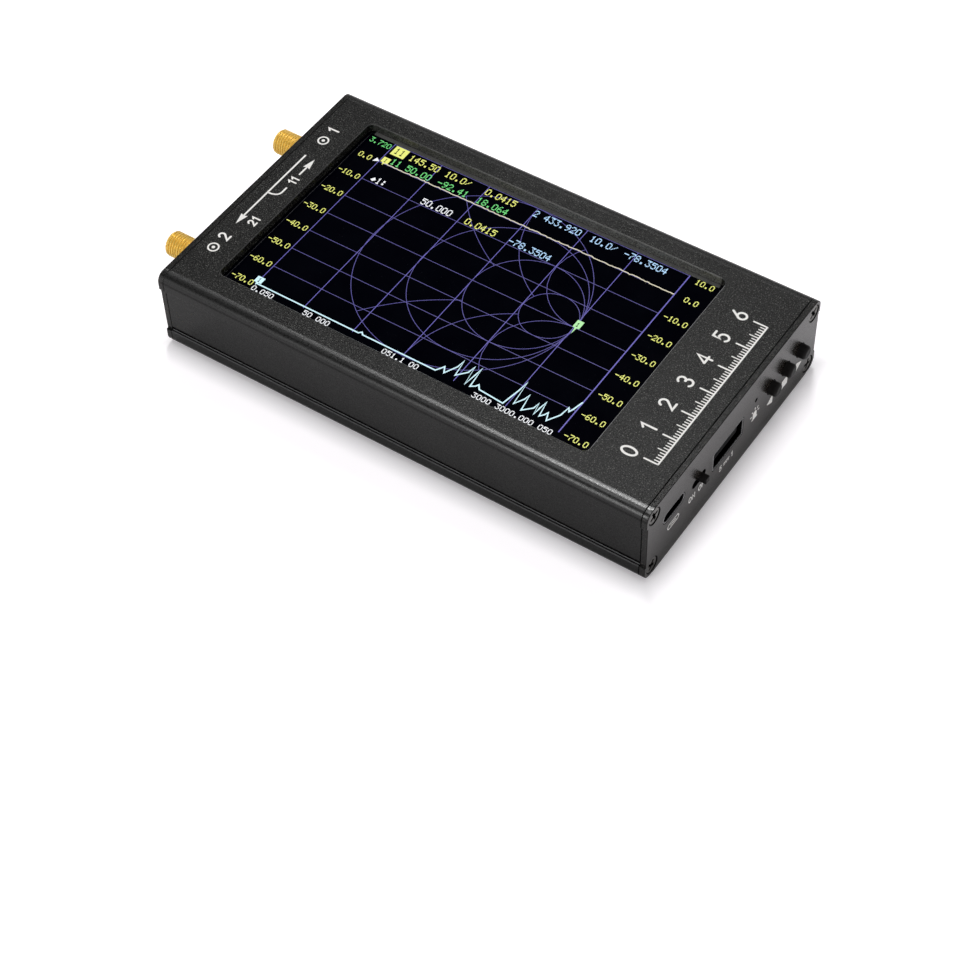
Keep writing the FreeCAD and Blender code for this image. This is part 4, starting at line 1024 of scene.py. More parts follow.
def make_usb_shells(steel):
    sides = (-1, 1)
    back, front = ends("usb_c_shell")
    solids = [tube(pill(usb_c_y, usb_c_z, USB_C_W, USB_C_H), back, front, 16)]
    solids += tabs(usb_c_y, USB_C_W / 2, usb_c_z, back + USB_C_TAB_X)
    solids += [dimple(front - DIMPLE_BACK, usb_c_y + side * DIMPLE_SIDE,
                      usb_c_z + end * (USB_C_H / 2 - USB_WALL), -end)
               for side in sides for end in sides]
    add("usb_c_shell_skin", solids, steel, "connector_steel", ["usb_c_shell"], 35)
    back, front = ends("usb_a_shell")
    solids = [tube(rectangle(usb_a_y, usb_a_z, USB_A_W, USB_A_H, USB_A_R), back, front, 6)]
    solids += tabs(usb_a_y, USB_A_W / 2, board_top - TAB_T, back + USB_A_TAB_X)
    solids += [grip_spring(front - SPRING_BACK, usb_a_y + side * SPRING_SIDE,
                           USB_A_H / 2 - USB_WALL, up) for up in sides for side in sides]
    add("usb_a_shell_skin", solids, steel, "connector_steel", ["usb_a_shell"], 35)


def make_tongues(black, steel):
    """Insulators of the two USB sockets, and the steel guard on the USB-C tongue."""
    back, tip = ends("usb_c_insulator")
    base = pill(usb_c_y, usb_c_z, USB_C_W - BLOCK_FIT, USB_C_H - BLOCK_FIT)
    base_end = back + USB_C_BLOCK_L
    add("usb_c_tongue", [along_x(base, [(back, 0), (base_end, 0)], 12),
                         block(base_end - OVERLAP, tip, usb_c_y, usb_c_z, *USB_C_TONGUE,
                               radius=0.25, edge=0.12)],
        black, "connector_black", ["usb_c_insulator"], 40)
    add("usb_c_tongue_guard",
        [block(tip - GUARD_BACK, tip - GUARD_FRONT, usb_c_y, usb_c_z + USB_C_TONGUE[1] / 2,
               GUARD_W, GUARD_T, radius=0.03, edge=0.02)], steel, "connector_steel")
    back, tip = ends("usb_a_insulator")
    base_end = back + USB_A_BLOCK_L
    tongue_z = usb_a_z - USB_A_H / 2 + USB_WALL + USB_A_TONGUE_RISE
    add("usb_a_tongue", [block(back, base_end, usb_a_y, usb_a_z, USB_A_W - BLOCK_FIT,
                               USB_A_H - BLOCK_FIT, radius=0.2, edge=0.05),
                         block(base_end - OVERLAP, tip, usb_a_y, tongue_z, *USB_A_TONGUE,
                               radius=0.3, edge=0.22)],
        black, "connector_black", ["usb_a_insulator"], 40)


# ---------------------------------------------------------------- switch and buttons
def make_knob(material):
    low, high = span("power_switch_slider")
    y = (low.y + high.y) / 2
    front = ends("power_switch_frame")[1] - FRAME_INSIDE
    slide = block(low.x, front, y, switch_z, high.y - low.y, high.z - low.z, radius=0.15)
    knob = block(front - KNOB_ROOT, high.x, y, switch_z, KNOB_W, KNOB_H, radius=0.25, edge=0.22,
                 steps=6)
    add("switch_knob", [slide, knob], material, "control_black", ["power_switch_slider"], 40,
        body="power_switch")


def make_buttons(material):
    """Caps with a rounded tip, a rim behind the steel cover and a stem."""
    front = ends("button_covers")[0] - COVER_GAP
    for node, y in zip(BUTTONS, button_ys):
        low, high = span(node)
        tip, rim_r = high.x, (high.y - low.y) / 2
        back = front - RIM_T
        rows = [(low.x, STEM_R - STEM_EDGE), (low.x + STEM_EDGE, STEM_R), (back, STEM_R),
                (back, rim_r - RIM_EDGE), (back + RIM_EDGE, rim_r), (front - RIM_EDGE, rim_r),
                (front, rim_r - RIM_EDGE), (front, BUTTON_R)]
        rows += [(tip - depth, BUTTON_R - inset) for depth, inset in rounding(BUTTON_TIP_R, 8)]
        rows += [(tip - DISH_FALL, BUTTON_R - BUTTON_TIP_R - DISH_RING),
                 (tip - DISH_DEPTH, DISH_R)]
        add(node + "_cap", [lathe(rows, y, button_z)], material, "control_black", [node], 40,
            body=node)


# ---------------------------------------------------------------- flat marks
def plane(origin, u, v):
    """Function that carries (u, v, height) of a printed plane to X, Y, Z."""
    origin, u, v = Vector(origin), Vector(u), Vector(v)
    normal = u.cross(v)
    return lambda a, b, h: origin + u * a + v * b + normal * h


def plate(points, place, thickness=PRINT_T):
    """Closed thin solid with this outline, on a printed plane."""
    return loft([[place(p[0], p[1], h) for p in points] for h in (0.0, thickness)])


def strip(points, width, place, thickness=PRINT_T, closed=False):
    """Thin line of constant width through points, with round ends."""
    half = width / 2
    points = [Vector(p) for p in points]
    rings = []
    for i, p in enumerate(points):
        ways = []
        if closed or i:
            ways.append((p - points[i - 1]).normalized())
        if closed or i < len(points) - 1:
            ways.append((points[(i + 1) % len(points)] - p).normalized())
        way = sum(ways, Vector((0, 0)))
        way = way.normalized() if way.length > 1e-6 else ways[0]
        reach = half / max(math.sqrt(max((1 + ways[0].dot(ways[-1])) / 2, 0)), 0.5)
        side = Vector((-way.y, way.x)) * reach
        rings.append([place(q.x, q.y, h) for q, h in (
            (p + side, thickness), (p - side, thickness), (p - side, 0.0), (p + side, 0.0))])
    solid = loft(rings, closed)
    if closed:
        return [solid]
    return [solid] + [plate(circle(*end, half, 10), place, thickness * 0.98)
                      for end in (points[0], points[-1])]


# strokes of plain signs, in a cell one unit high: the cell's width and lists of points
OVAL = arc(0.29, 0.5, 0.29, 0.5, 90, 450, 28)
STROKES = {
    "0": (0.58, [OVAL]),
    "1": (0.32, [[(0.02, 0.78), (0.26, 1.0), (0.26, 0.0)]]),
    "2": (0.56, [arc(0.28, 0.72, 0.26, 0.28, 165, -35) + [(0.02, 0.0), (0.56, 0.0)]]),
    "3": (0.56, [arc(0.26, 0.75, 0.25, 0.25, 150, -85), arc(0.26, 0.27, 0.28, 0.27, 85, -150)]),
    "4": (0.6, [[(0.44, 0.0), (0.44, 1.0), (0.0, 0.3)], [(0.0, 0.3), (0.6, 0.3)]]),
    "5": (0.56, [[(0.52, 1.0), (0.1, 1.0), (0.06, 0.53)] + arc(0.26, 0.33, 0.28, 0.33, 125, -145)]),
    "6": (0.56, [[(0.42, 1.0), (0.07, 0.47)], arc(0.28, 0.3, 0.27, 0.3, 150, 510, 24)]),
    "O": (0.66, [arc(0.33, 0.5, 0.33, 0.5, 90, 450, 28)]),
    "N": (0.6, [[(0.0, 0.0), (0.0, 1.0), (0.6, 0.0), (0.6, 1.0)]]),
    "F": (0.5, [[(0.0, 0.0), (0.0, 1.0), (0.5, 1.0)], [(0.0, 0.53), (0.44, 0.53)]]),
}
STROKE_GAP = 0.3          # between signs, in units of their height
STROKE_STEP = 0.07        # each further stroke of a sign is this share thinner


def sign(text, u, v, height, weight, place):
    """Stroked signs centred on u, with their baseline at v."""
    widths = [STROKES[c][0] for c in text]
    start = u - 0.5 * (sum(widths) + STROKE_GAP * (len(text) - 1)) * height
    solids = []
    for character, width in zip(text, widths):
        for order, stroke in enumerate(STROKES[character][1]):
            points = [(start + a * height, v + b * height) for a, b in stroke]
            ring = math.dist(stroke[0], stroke[-1]) < 1e-6
            solids += strip(points[:-1] if ring else points, weight, place,
                            PRINT_T * (1 - STROKE_STEP * order), closed=ring)
        start += (width + STROKE_GAP) * height
    return solids


PANEL_LINE = 0.28         # weight of the control panel's marks
PANEL_SIGNS = (("ON", -18.35, 8.3, 1.55), ("OFF", -13.7, 8.3, 1.55),
               ("5", -5.75, 5.4, 1.5), ("1", -0.75, 5.4, 1.5))
PLUG_Z, PLUG_W, PLUG_H, PLUG_PIN, PLUG_LINE = 9.07, 4.6, 1.5, 1.1, 0.26
CURRENT_BAR, CURRENT_Z = (-4.4, -2.0), (6.45, 5.85)     # direct current sign: bar over dashes
CURRENT_DASHES, DASH = (-4.1, -3.2, -2.3), 0.18
LAMP_SIDE, LAMP_Z, LAMP_R, LAMP_LOW = -0.1, 10.4, 0.86, 9.16
LAMP_FOOT = (8.9, 2.45, 0.42)             # height, width and thickness of its foot
LAMP_RAYS, LAMP_RAY_LINE = (1.42, 1.85), 0.36
TRIANGLE_Z, TRIANGLE_H, TRIANGLE_R = 7.52, 1.45, 0.2
TRIANGLES = ((0, 1.15, -1.6), (2, -1.35, 1.4))    # button; base and tip, from its middle
SQUARE_Z, SQUARE, SQUARE_R = 7.62, 2.6, 0.08


def make_panel_marks(material):
    """White marks of the control panel."""
    place = plane((front_x, 0, 0), (0, 1, 0), (0, 0, 1))
    marks = []
    for text, y, z, height in PANEL_SIGNS:
        marks += sign(text, y, z, height, PANEL_LINE, place)
    marks += strip(outline(pill(usb_c_y, PLUG_Z, PLUG_W, PLUG_H)), PLUG_LINE, place, closed=True)
    bars = [(usb_c_y, PLUG_PIN, PLUG_Z, PLUG_LINE),
            (sum(CURRENT_BAR) / 2, (CURRENT_BAR[1] - CURRENT_BAR[0]) / 2, CURRENT_Z[0], PANEL_LINE)]
    bars += [(y, DASH, CURRENT_Z[1], PANEL_LINE) for y in CURRENT_DASHES]
    for y, half, z, weight in bars:
        marks += strip([(y - half, z), (y + half, z)], weight, place)
    # lamp: dome, foot and five rays
    y = led_y + LAMP_SIDE
    dome = arc(y, LAMP_Z, LAMP_R, LAMP_R, 0, 180, 16)
    marks.append(plate(dome + [(y - LAMP_R, LAMP_LOW), (y + LAMP_R, LAMP_LOW)], place))
    marks.append(plate(outline(rectangle(y, *LAMP_FOOT, SQUARE_R), 3), place))
    for angle in range(0, 181, 45):
        way = Vector((math.cos(math.radians(angle)), math.sin(math.radians(angle))))
        marks += strip([Vector((y, LAMP_Z)) + way * reach for reach in LAMP_RAYS], LAMP_RAY_LINE,
                       place)
    # triangles and square under the push buttons
    for button, base, tip in TRIANGLES:
        y = button_ys[button]
        corners = [(y + side, TRIANGLE_Z + rise, TRIANGLE_R)
                   for side, rise in ((base, -TRIANGLE_H), (base, TRIANGLE_H), (tip, 0.0))]
        marks.append(plate(outline(corners, 4), place))
    square = rectangle(button_ys[1], SQUARE_Z, SQUARE, SQUARE, SQUARE_R)
    marks.append(plate(outline(square, 3), place))
    add("panel_marks", marks, material, "panel_black")


PORT_SIGNS = (("1", 21.2), ("2", -21.4))
COAX_SIDE, COAX_V, COAX_R, COAX_LINE = -1.9, 59.7, 1.25, 0.4      # coaxial symbol: outer ring
COAX_CORE_R = 0.42
PORT_SIGN_SIDE, PORT_SIGN_V, PORT_SIGN_H, PORT_SIGN_LINE = 2.2, 58.4, 2.7, 0.5
TOP_LINE = 0.45           # weight of the lines at the port end
TOP_LINES = (
    [(12.8, 60.2), (-11.4, 60.15)],
    [(-2.1, 60.05), (-2.0, 59.0)] + arc(-0.3, 58.9, 1.55, 1.6, 195, 270, 8) + [(1.4, 57.3)],
    [(6.8, 57.45), (9.8, 57.45)],
)
ARROW_HEADS = ((-11.0, 60.1, -14.4), (9.4, 57.45, 12.8))          # u of the barbs, v, u of the tip
BARB, NOTCH = 0.9, 0.35
PATH_SIGNS = (("11", 4.3, 56.4), ("21", -11.6, 56.0))
PATH_SIGN_H, PATH_SIGN_LINE = 2.0, 0.44
RULE_START, RULE_PITCH, RULE_NUMBERS, RULE_LINE = -24.0, 7.8, 7, 0.4
RULE_X, RULE_SIGN_X, RULE_SIGN_H, RULE_SIGN_LINE = -59.4, -54.1, 3.6, 0.55
TICK = (1.3, 0.28)        # reach and weight of the rule's ticks
TALL_TICKS = {0: (3.4, 0.42), 5: (2.3, 0.28)}     # first and middle one of ten


def arrow_head(u, v, tip, place):
    """Barbed head that points along u."""
    notch = math.copysign(NOTCH, tip - u)
    return plate([(tip, v), (u, v + BARB), (u + notch, v), (u, v - BARB)], place)


def make_top_marks(material):
    """White marks of the top face; signs read towards +Y."""
    place = plane((0, 0, top_z), (0, 1, 0), (-1, 0, 0))
    marks = []
    for text, y in PORT_SIGNS:
        ring = circle(y + COAX_SIDE, COAX_V, COAX_R, 40)
        marks += strip(ring, COAX_LINE, place, closed=True)
        marks.append(plate(circle(y + COAX_SIDE, COAX_V, COAX_CORE_R, 20), place))
        marks += sign(text, y + PORT_SIGN_SIDE, PORT_SIGN_V, PORT_SIGN_H, PORT_SIGN_LINE, place)
    for line in TOP_LINES:
        marks += strip(line, TOP_LINE, place)
    marks += [arrow_head(*head, place) for head in ARROW_HEADS]
    for text, y, v in PATH_SIGNS:
        marks += sign(text, y, v, PATH_SIGN_H, PATH_SIGN_LINE, place)
    # ruled scale at the control end
    end = RULE_START + RULE_PITCH * (RULE_NUMBERS - 1)
    marks += strip([(RULE_START, RULE_X), (end, RULE_X)], RULE_LINE, place)
    for k in range(10 * (RULE_NUMBERS - 1) + 1):
        y = RULE_START + RULE_PITCH * k / 10
        reach, weight = TALL_TICKS.get(k % 10, TICK)
        marks += strip([(y, RULE_X + RULE_LINE / 2), (y, RULE_X + reach)], weight, place)
    for k in range(RULE_NUMBERS):
        marks += sign(str(k), RULE_START + RULE_PITCH * k, RULE_SIGN_X, RULE_SIGN_H,
                      RULE_SIGN_LINE, place)
    add("top_marks", marks, material, "case_black")


# ---------------------------------------------------------------- screen
# plain signs on a field five dots wide and seven high, one number of five bits a row from the top
DOTS = {
    "0": (14, 17, 17, 17, 17, 17, 14), "1": (4, 12, 4, 4, 4, 4, 14),
    "2": (14, 17, 1, 2, 4, 8, 31), "3": (31, 2, 4, 2, 1, 17, 14),
    "4": (2, 6, 10, 18, 31, 2, 2), "5": (31, 16, 30, 1, 1, 17, 14),
    "6": (6, 8, 16, 30, 17, 17, 14), "7": (31, 1, 2, 4, 8, 8, 8),
    "8": (14, 17, 17, 14, 17, 17, 14), "9": (14, 17, 17, 15, 1, 2, 12),
    "-": (0, 0, 0, 31, 0, 0, 0), ".": (0, 0, 0, 0, 0, 12, 12),
    "/": (0, 1, 2, 4, 8, 16, 0), ":": (0, 12, 12, 0, 12, 12, 0), " ": (0,) * 7,
}
DOT_GAP = 0.05            # between display dots, in dots
PICTURE_T = 0.01          # picture elements above the glass
# each layer lies this much higher: rows 0, columns 1, chart 2, signs 3, traces 4 and 5, lowest
# line of signs 6, flags 7 and their numbers 9
LAYER = 0.002
BORDER_INSET, BORDER_LINE = 0.6, 0.12                 # grey line round the picture
GRID_LEFT, GRID_RIGHT = -46.0, 35.8
GRID_TOP, GRID_LOW = 29.5, -25.8
COLUMNS, ROWS = 6, 8
ROW = (GRID_TOP - GRID_LOW) / ROWS
ROW_LINE, COLUMN_LINE, EDGE_LINE = 0.15, 0.17, 0.28
SCALE_LEFT, SCALE_RIGHT = -49.6, 40.3                 # middles of the numbers beside the rows
CHART_X, CHART_Y, CHART_R = -5.1, 1.85, 27.6
CHART_LINE = 0.14
CHART_ARCS = ((0.5, 1.0), (1.0, 3.0), (2.0, 60.0))    # reactance, resistance where its arc ends
UPPER_TRACE, UPPER_LINE, RIPPLE = 22.8, 0.27, 0.16
LOWER_TRACE, LOWER_LINE = -25.4, 0.34
PEAKS = ((4.6, 2.0), (7.3, 5.7), (10.3, 5.5), (11.9, 5.9), (13.9, 1.6), (22.5, 7.8), (24.9, 5.1),
         (27.9, 4.1), (29.1, 5.3), (31.0, 3.0), (34.0, 6.6))
SMALL, LARGE = (1.22, 1.7), (1.44, 2.1)               # pitch and height of signs
LINE_1, LINE_2, LINE_3 = 26.7, 23.3, 16.0             # baselines of the large signs
YELLOW = (("145.50", -40.4, LINE_1), ("10.0/", -30.0, LINE_1), ("0.0415", -18.6, LINE_1),
          ("0.0415", -17.2, LINE_3))
GREEN = (("11 50.00", -43.4, LINE_2), ("-92.41", -30.0, LINE_2), ("18.064", -18.8, LINE_2))
CLEAR = (("1:", -42.6, LINE_3), ("50.000", -29.6, LINE_3))
BLUE = (("2 433.920", -5.1, LINE_1), ("10.0/", 10.4, LINE_1), ("-78.3504", 19.5, LINE_1),
        ("-78.3504", -5.1, LINE_3))
FOOT_LINE = (("0.050", -46.1), ("50 000", -31.6), ("051.1 00", -9.8),
             ("3000 3000.000 050", 14.2))
FLAG_NUMBERS = ((-46.45, -24.85), (-45.15, 23.1), (22.05, 2.3))
on_glass = plane((0, 0, glass_top), (1, 0, 0), (0, 1, 0))


def shape(points, layer=0):
    return plate(points, on_glass, PICTURE_T + layer * LAYER)


def ruled(points, width, layer, closed=False):
    return strip(points, width, on_glass, PICTURE_T + layer * LAYER, closed)


def dotted(text, u, v, size, layer=3):
    """Dot-matrix signs from u on, with their baseline at v."""
    cell, rise = size[0] / 6, size[1] / 7
    solids = []
    for order, character in enumerate(text):
        for row, bits in enumerate(DOTS[character]):
            column = 0
            while column < 5:
                run = 0
                while column + run < 5 and bits >> (4 - column - run) & 1:
                    run += 1
                if run:
                    u0 = u + order * size[0] + (column + DOT_GAP) * cell
                    v0 = v + (6 - row) * rise
                    u1, v1 = u0 + (run - DOT_GAP) * cell, v0 + rise * (1 - DOT_GAP)
                    solids.append(shape([(u0, v0), (u1, v0), (u1, v1), (u0, v1)], layer))
                column += max(run, 1)
    return solids


def lines_of(rows):
    return [solid for text, u, v in rows for solid in dotted(text, u, v, LARGE)]


def flag(u, tip, tail, height, width=2.0):
    """Marker: a tab on a pointer whose tip is at (u, tip)."""
    half, foot = width / 2, tip + tail
    return shape([(u, tip), (u + 0.3 * half, foot), (u + half, foot), (u + half, foot + height),
                  (u - half, foot + height), (u - half, foot), (u - 0.3 * half, foot)], 7)


def show(name, solids, material):
    add("screen_" + name, solids, material, "picture_cell")


def make_grid(thin, bold, curves):
    lines = []
    for k in range(ROWS):
        y = GRID_TOP - ROW * k
        lines += ruled([(GRID_LEFT, y), (GRID_RIGHT, y)], ROW_LINE, 0)
    show("grid_rows", lines, thin)
    lines = []
    for k in range(COLUMNS):
        x = GRID_LEFT + (GRID_RIGHT - GRID_LEFT) / COLUMNS * k
        lines += ruled([(x, GRID_LOW), (x, GRID_TOP)], COLUMN_LINE, 1)
    show("grid_columns", lines, bold)
    edge = [(GRID_RIGHT, GRID_LOW), (GRID_RIGHT, GRID_TOP)]
    show("grid_edge", ruled(edge, EDGE_LINE, 1), bold)
    rings = []
    for k in (4, 3, 2, 1):
        r = CHART_R * k / 4
        ring = circle(CHART_X + CHART_R - r, CHART_Y, r, 96)
        rings += ruled(ring, CHART_LINE, 2 + k * 0.1, closed=True)
    for order, (reactance, last) in enumerate(CHART_ARCS):
        for side in (1, -1):
            points = []
            for k in range(33):
                impedance = complex(last * (k / 32) ** 2, side * reactance)
                spot = (impedance - 1) / (impedance + 1)
                points.append((CHART_X + CHART_R * spot.real, CHART_Y + CHART_R * spot.imag))
            rings += ruled(points, CHART_LINE, 2.6 + order * 0.1 + side * 0.02)
    show("chart", rings, curves)


def make_traces(pale, cyan):
    """Flat upper trace and the spiky lower one."""
    rng = random.Random(7)
    start, stop, fall = -45.0, GRID_RIGHT - 0.2, 0.1
    x, points = start, []
    while x < stop:
        ripple = rng.uniform(-RIPPLE, RIPPLE)
        points.append((x, UPPER_TRACE - fall * (x - start) / 80 + ripple))
        x += 0.6
    points.append((stop, UPPER_TRACE - fall))
    show("upper_trace", ruled(points, UPPER_LINE, 4), pale)
    points = [(GRID_LEFT, 0.0), (-17.4, 0.0), (-16.8, 0.6), (-16.2, 0.0), (3.4, 0.0)]
    for peak, height in PEAKS:
        slope = 0.55 + rng.uniform(0.0, 0.35)
        last = points[-1][0]
        if peak - last > 2.4:
            points.append((peak - 1.3, rng.uniform(-0.1, 0.1)))
        elif last > 3.5:
            points[-1] = (last, rng.uniform(0.0, 1.1))
        points.append((peak - slope * 0.45, height * rng.uniform(0.55, 0.7)))
        points.append((peak, height))
        points.append((peak + slope, rng.uniform(0.0, 0.5)))
    points[-1] = (34.6, 5.6)
    points += [(35.0, 6.6), (GRID_RIGHT - 0.1, 9.4)]
    trace = ruled([(x, LOWER_TRACE + rise) for x, rise in points], LOWER_LINE, 5)
    show("lower_trace", trace + [flag(GRID_LEFT, -25.95, 0.85, 1.9)], cyan)


def make_readouts(yellow, green, mint, white, blue, dark):
    signs = []
    for k in range(ROWS + 1):
        text = f"{10 - 10 * k}.0"
        y = GRID_TOP - ROW * k - SMALL[1] / 2
        half = len(text) * SMALL[0] / 2
        if k:
            signs += dotted(text, SCALE_LEFT - (0.0 if k > 1 else 0.2) - half, y, SMALL)
        signs += dotted(text, SCALE_RIGHT - half, y if k else y - 0.8, SMALL)
    signs += lines_of(YELLOW)
    signs.append(shape([(-45.3, 26.2), (-41.5, 26.2), (-41.5, 29.4), (-45.3, 29.4)]))
    show("yellow_signs", signs + [flag(-44.7, 22.0, 0.9, 1.8)], yellow)
    signs = dotted("11", -44.8, 26.8, LARGE, 4)
    for u, v in FLAG_NUMBERS:
        signs += dotted("1", u, v, (1.1, 1.3), 9)
    show("dark_signs", signs, dark)
    show("green_signs", dotted("3.720", -52.3, 27.3, SMALL) + lines_of(GREEN), green)
    show("mint_marker", [flag(22.6, -0.1, 2.0, 2.4, 1.7)], mint)
    signs = lines_of(CLEAR)
    signs.append(shape([(-44.1, 16.6), (-43.4, 16.2), (-42.8, 16.9), (-43.4, 17.6)]))
    signs.append(shape([(-47.4, 22.0), (-45.9, 22.7), (-47.0, 23.5)], 6))
    for text, u in FOOT_LINE:
        signs += dotted(text, u, -27.6, (SMALL[0], 1.5), 6)
    show("white_signs", signs, white)
    show("blue_signs", lines_of(BLUE), blue)


def make_screen(glass, border, gasket):
    size, centre = glass_high - glass_low, middle("touch_glass")
    levels = [(glass_low.z, GLASS_EDGE), (glass_low.z + GLASS_EDGE, 0)]
    levels += [(glass_top - depth, inset) for depth, inset in rounding(GLASS_EDGE)]
    pane = rectangle(centre.x, centre.y, size.x, size.y, WINDOW_R)
    add("screen_glass", [along_z(pane, levels)], glass, "screen_glass", ["touch_glass"], 32)
    frame_line = [(u, v) for u, v, _ in rectangle(window_x, window_y, window_l - 2 * BORDER_INSET,
                                                  window_w - 2 * BORDER_INSET, 0)]
    show("border", strip(frame_line, BORDER_LINE, on_glass, PICTURE_T / 2, closed=True), border)
    # the visible strip of gasket is given a pale grey as painted light, matching the lit far wall
    # above it
    top = top_under - GASKET_FIT
    foot = rectangle(window_x, window_far - GASKET_SHOWS / 2, window_l - 2 * WINDOW_R,
                     GASKET_SHOWS, 0.1)
    levels = [(glass_top, 0), (top - GASKET_EDGE, 0), (top, GASKET_EDGE)]
    add("screen_gasket_edge", [along_z(foot, levels, 3)], gasket, "gasket_foam")


# ---------------------------------------------------------------- the whole part
def build():
    case = anodized("case_anodized", "060606", "242423", "666663", 0.61, 0.25, 0.115, 0.31, True)
    panel = anodized("panel_anodized", "13110f", "2a2623", "46403b", 0.64, 0.2, 0.24, 0.32, False)
    gold = metal("gold_plate", "fac850", "ffe88c", 0.26, 0.5, (8, 1, 1), 0.001, metallic=0.35)
    steel = metal("bright_steel", "636365", "a6a5a5", 0.25, 0.4, (1, 6, 6), 0.002)
    rims = metal("socket_steel", "59595b", "9a9a9a", 0.25, 0.4, (1, 6, 6), 0.002,
                 lit_from=ends("usb_a_shell")[1] - 0.3)
    oxide = metal("black_oxide", "4a4947", "7c7976", 0.36, 0.35, depth=0.008,
                  lit_from=screw_face - 0.12)
    rubber = moulded("control_black", "171616", "232121", 0.5, 0.1, 0.1, 0.008)
    marks = ink("white_ink", "cfcbc6", "f4f2ef")

    make_shells(case)
    make_panels(panel)
    make_screws("front_screws", "front_panel_screws", oxide, lambda solid: solid)
    make_screws("rear_screws", "rear_panel_screws", oxide, flipped)
    make_ports(gold, steel, moulded("ptfe", "d8d5cc", "efece4", 0.45))
    make_usb_shells(rims)
    # painted shade: the grey insulators of the USB sockets are made near black for the dark inside
    # the sockets
    make_tongues(moulded("tongue_painted_shade", "08080a", "121214", 0.5, 0.05), steel)
    make_knob(rubber)
    make_buttons(rubber)
    make_panel_marks(marks)
    make_top_marks(marks)
    make_screen(glossy_glass("touch_glass_face"), moulded("border_grey", "17171b", "22222a"),
                moulded("gasket_painted_light", "50504f", "6e6e6c", 0.7, 0.1, 0.3))
    make_grid(lit("row_violet", "5f58a6", 0.8), lit("column_violet", "675fc0", 0.95),
              lit("chart_violet", "5d56ae", 0.8))
    make_traces(lit("trace_cream", "ddd6bc", 1.0), lit("trace_cyan", "ccf1fa", 1.1))
    make_readouts(lit("sign_yellow", "e6ea74", 1.1), lit("sign_green", "6ce07a", 1.0),
                  lit("marker_mint", "b4f2aa", 1.0), lit("sign_white", "f4f6fa", 1.1),
                  lit("sign_blue", "aed6fa", 1.1), lit("sign_dark", "1a1a10", 0.1))


def dress_nodes():
    """Finishes of the CAD nodes that stay as they are."""
    finishes = (
        (moulded("board_green", "0d3a22", "155232", 0.35, 0.5, 0.4), "main_board"),
        (moulded("chip_black", "121214", "1e1e20"), "board_chips"),
        (moulded("ferrite_grey", "3a3b3e", "55565a", 0.55), "power_inductors"),
        (metal("tinned_steel", "a2a4a6", "c9cbcd", 0.32, 0.5),
         "backlight_tray reference_crystal rf_shields button_leads"),
        (metal("spring_steel", "9a9a98", "cfcfcc", 0.24),
         "power_switch_contacts left_snap_dome centre_snap_dome right_snap_dome"),
        (metal("pouch_foil", "8e9196", "c2c6ca", 0.4, 1.2, depth=0.05), "battery_cell"),
        (moulded("foam_black", "101010", "202020", 0.85, 0.2, 0.25, 0.08),
         "display_gasket display_pads battery_pads"),
        (moulded("nylon_cream", "cfc5ad", "e4dcc8"), "ribbon_connector battery_plug battery_socket"),
        (moulded("ribbon_amber", "a8641c", "c78330", 0.3, 0.5), "display_ribbon"),
        (moulded("lead_red", "8c1512", "b02420", 0.45), "battery_leads"),
        (moulded("guide_clear", "c4ccd0", "e2e8ea", 0.15, 0.5), "light_guide"),
        (moulded("lamp_smoked", "1c1d1f", "2a2c2e", 0.2, 0.3), "status_led"),
        (moulded("cell_dark", "08080c", "101016", 0.2, 0.5), "lcd_cell"),
        (metal("shaded_gold", "4c3d26", "6b573a", 0.4), "usb_c_contacts usb_a_contacts"),
        (moulded("part_black", "101012", "1c1c1f", 0.45), "power_switch_base button_housings"),
        (metal("shell_steel", "a8a8aa", "dcdcde", grain=0.4), "button_covers"),
        # painted shade: the steel switch frame, seen only inside its slot, is made near black
        (metal("frame_steel_painted_shade", "161617", "2a2a2c", 0.5, 0.4), "power_switch_frame"),
    )
    for material, nodes in finishes:
        for node in nodes.split():
            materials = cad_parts[node].data.materials
            for index in range(len(materials)):
                materials[index] = material
            if not materials:
                materials.append(material)


# ---------------------------------------------------------------- camera, floor and light
CAMERA_PLACE = Vector((206.55, -295.63, 392.28))
CAMERA_AIM = Vector((24.87, -40.12, 11.0))
CAMERA_ROLL = -2.07       # degrees
CAMERA_LENS = 85.8
FLOOR_DROP = 0.02         # floor below the resting face
FLOOR_SIZE = 6000.0
# painted shadow on the floor: its own light is lower next to the object, over this reach
SHADOW_REACH = 5.0        # width of the dark seam of floor round the object
FLOOR_OWN = (0.18, 0.54)  # own light of the floor, at the object and past that reach
FLOOR_GLOW = (1.0, 0.96, 0.99, 1.0)
# painted shade in reflections: the floor that glossy faces mirror is dark next to the object
MIRRORED_REACH = (1.0, 8.0)     # distances over which the floor that glossy faces mirror
FLOOR_MIRRORED = (0.0, 0.36)    # goes from dark to its own light
WORLD_FILL = 0.75         # strength of the room's light
WORLD_MIRRORED = 0.5      # the same, where glossy faces mirror the room
WALLS_TOP, CEILING_START = 0.45, 0.7      # sine of the height where white walls end
CEILING = (0.3, 0.3, 0.3, 1.0)
DARK_SIDE = (-0.41, -0.25, 0.88)          # way to the dark screen above the object
DARK_EDGE, DARK_CORE = 0.86, 0.94         # cosine from that way where it starts and is full
DARK = (0.06, 0.06, 0.06, 1.0)
# softboxes, aimed at the origin: place in metres, sides of the lamp and watts
LAMPS = {
    "rear_softbox": ((-0.34, 0.62, 1.19), (0.24, 0.2), 5.7),
    "overhead_softbox": ((-0.1, -0.1, 1.25), (0.5, 0.6), 3.2),
    "front_softbox": ((-0.2, -0.95, 0.57), (0.3, 0.4), 2.2),
}


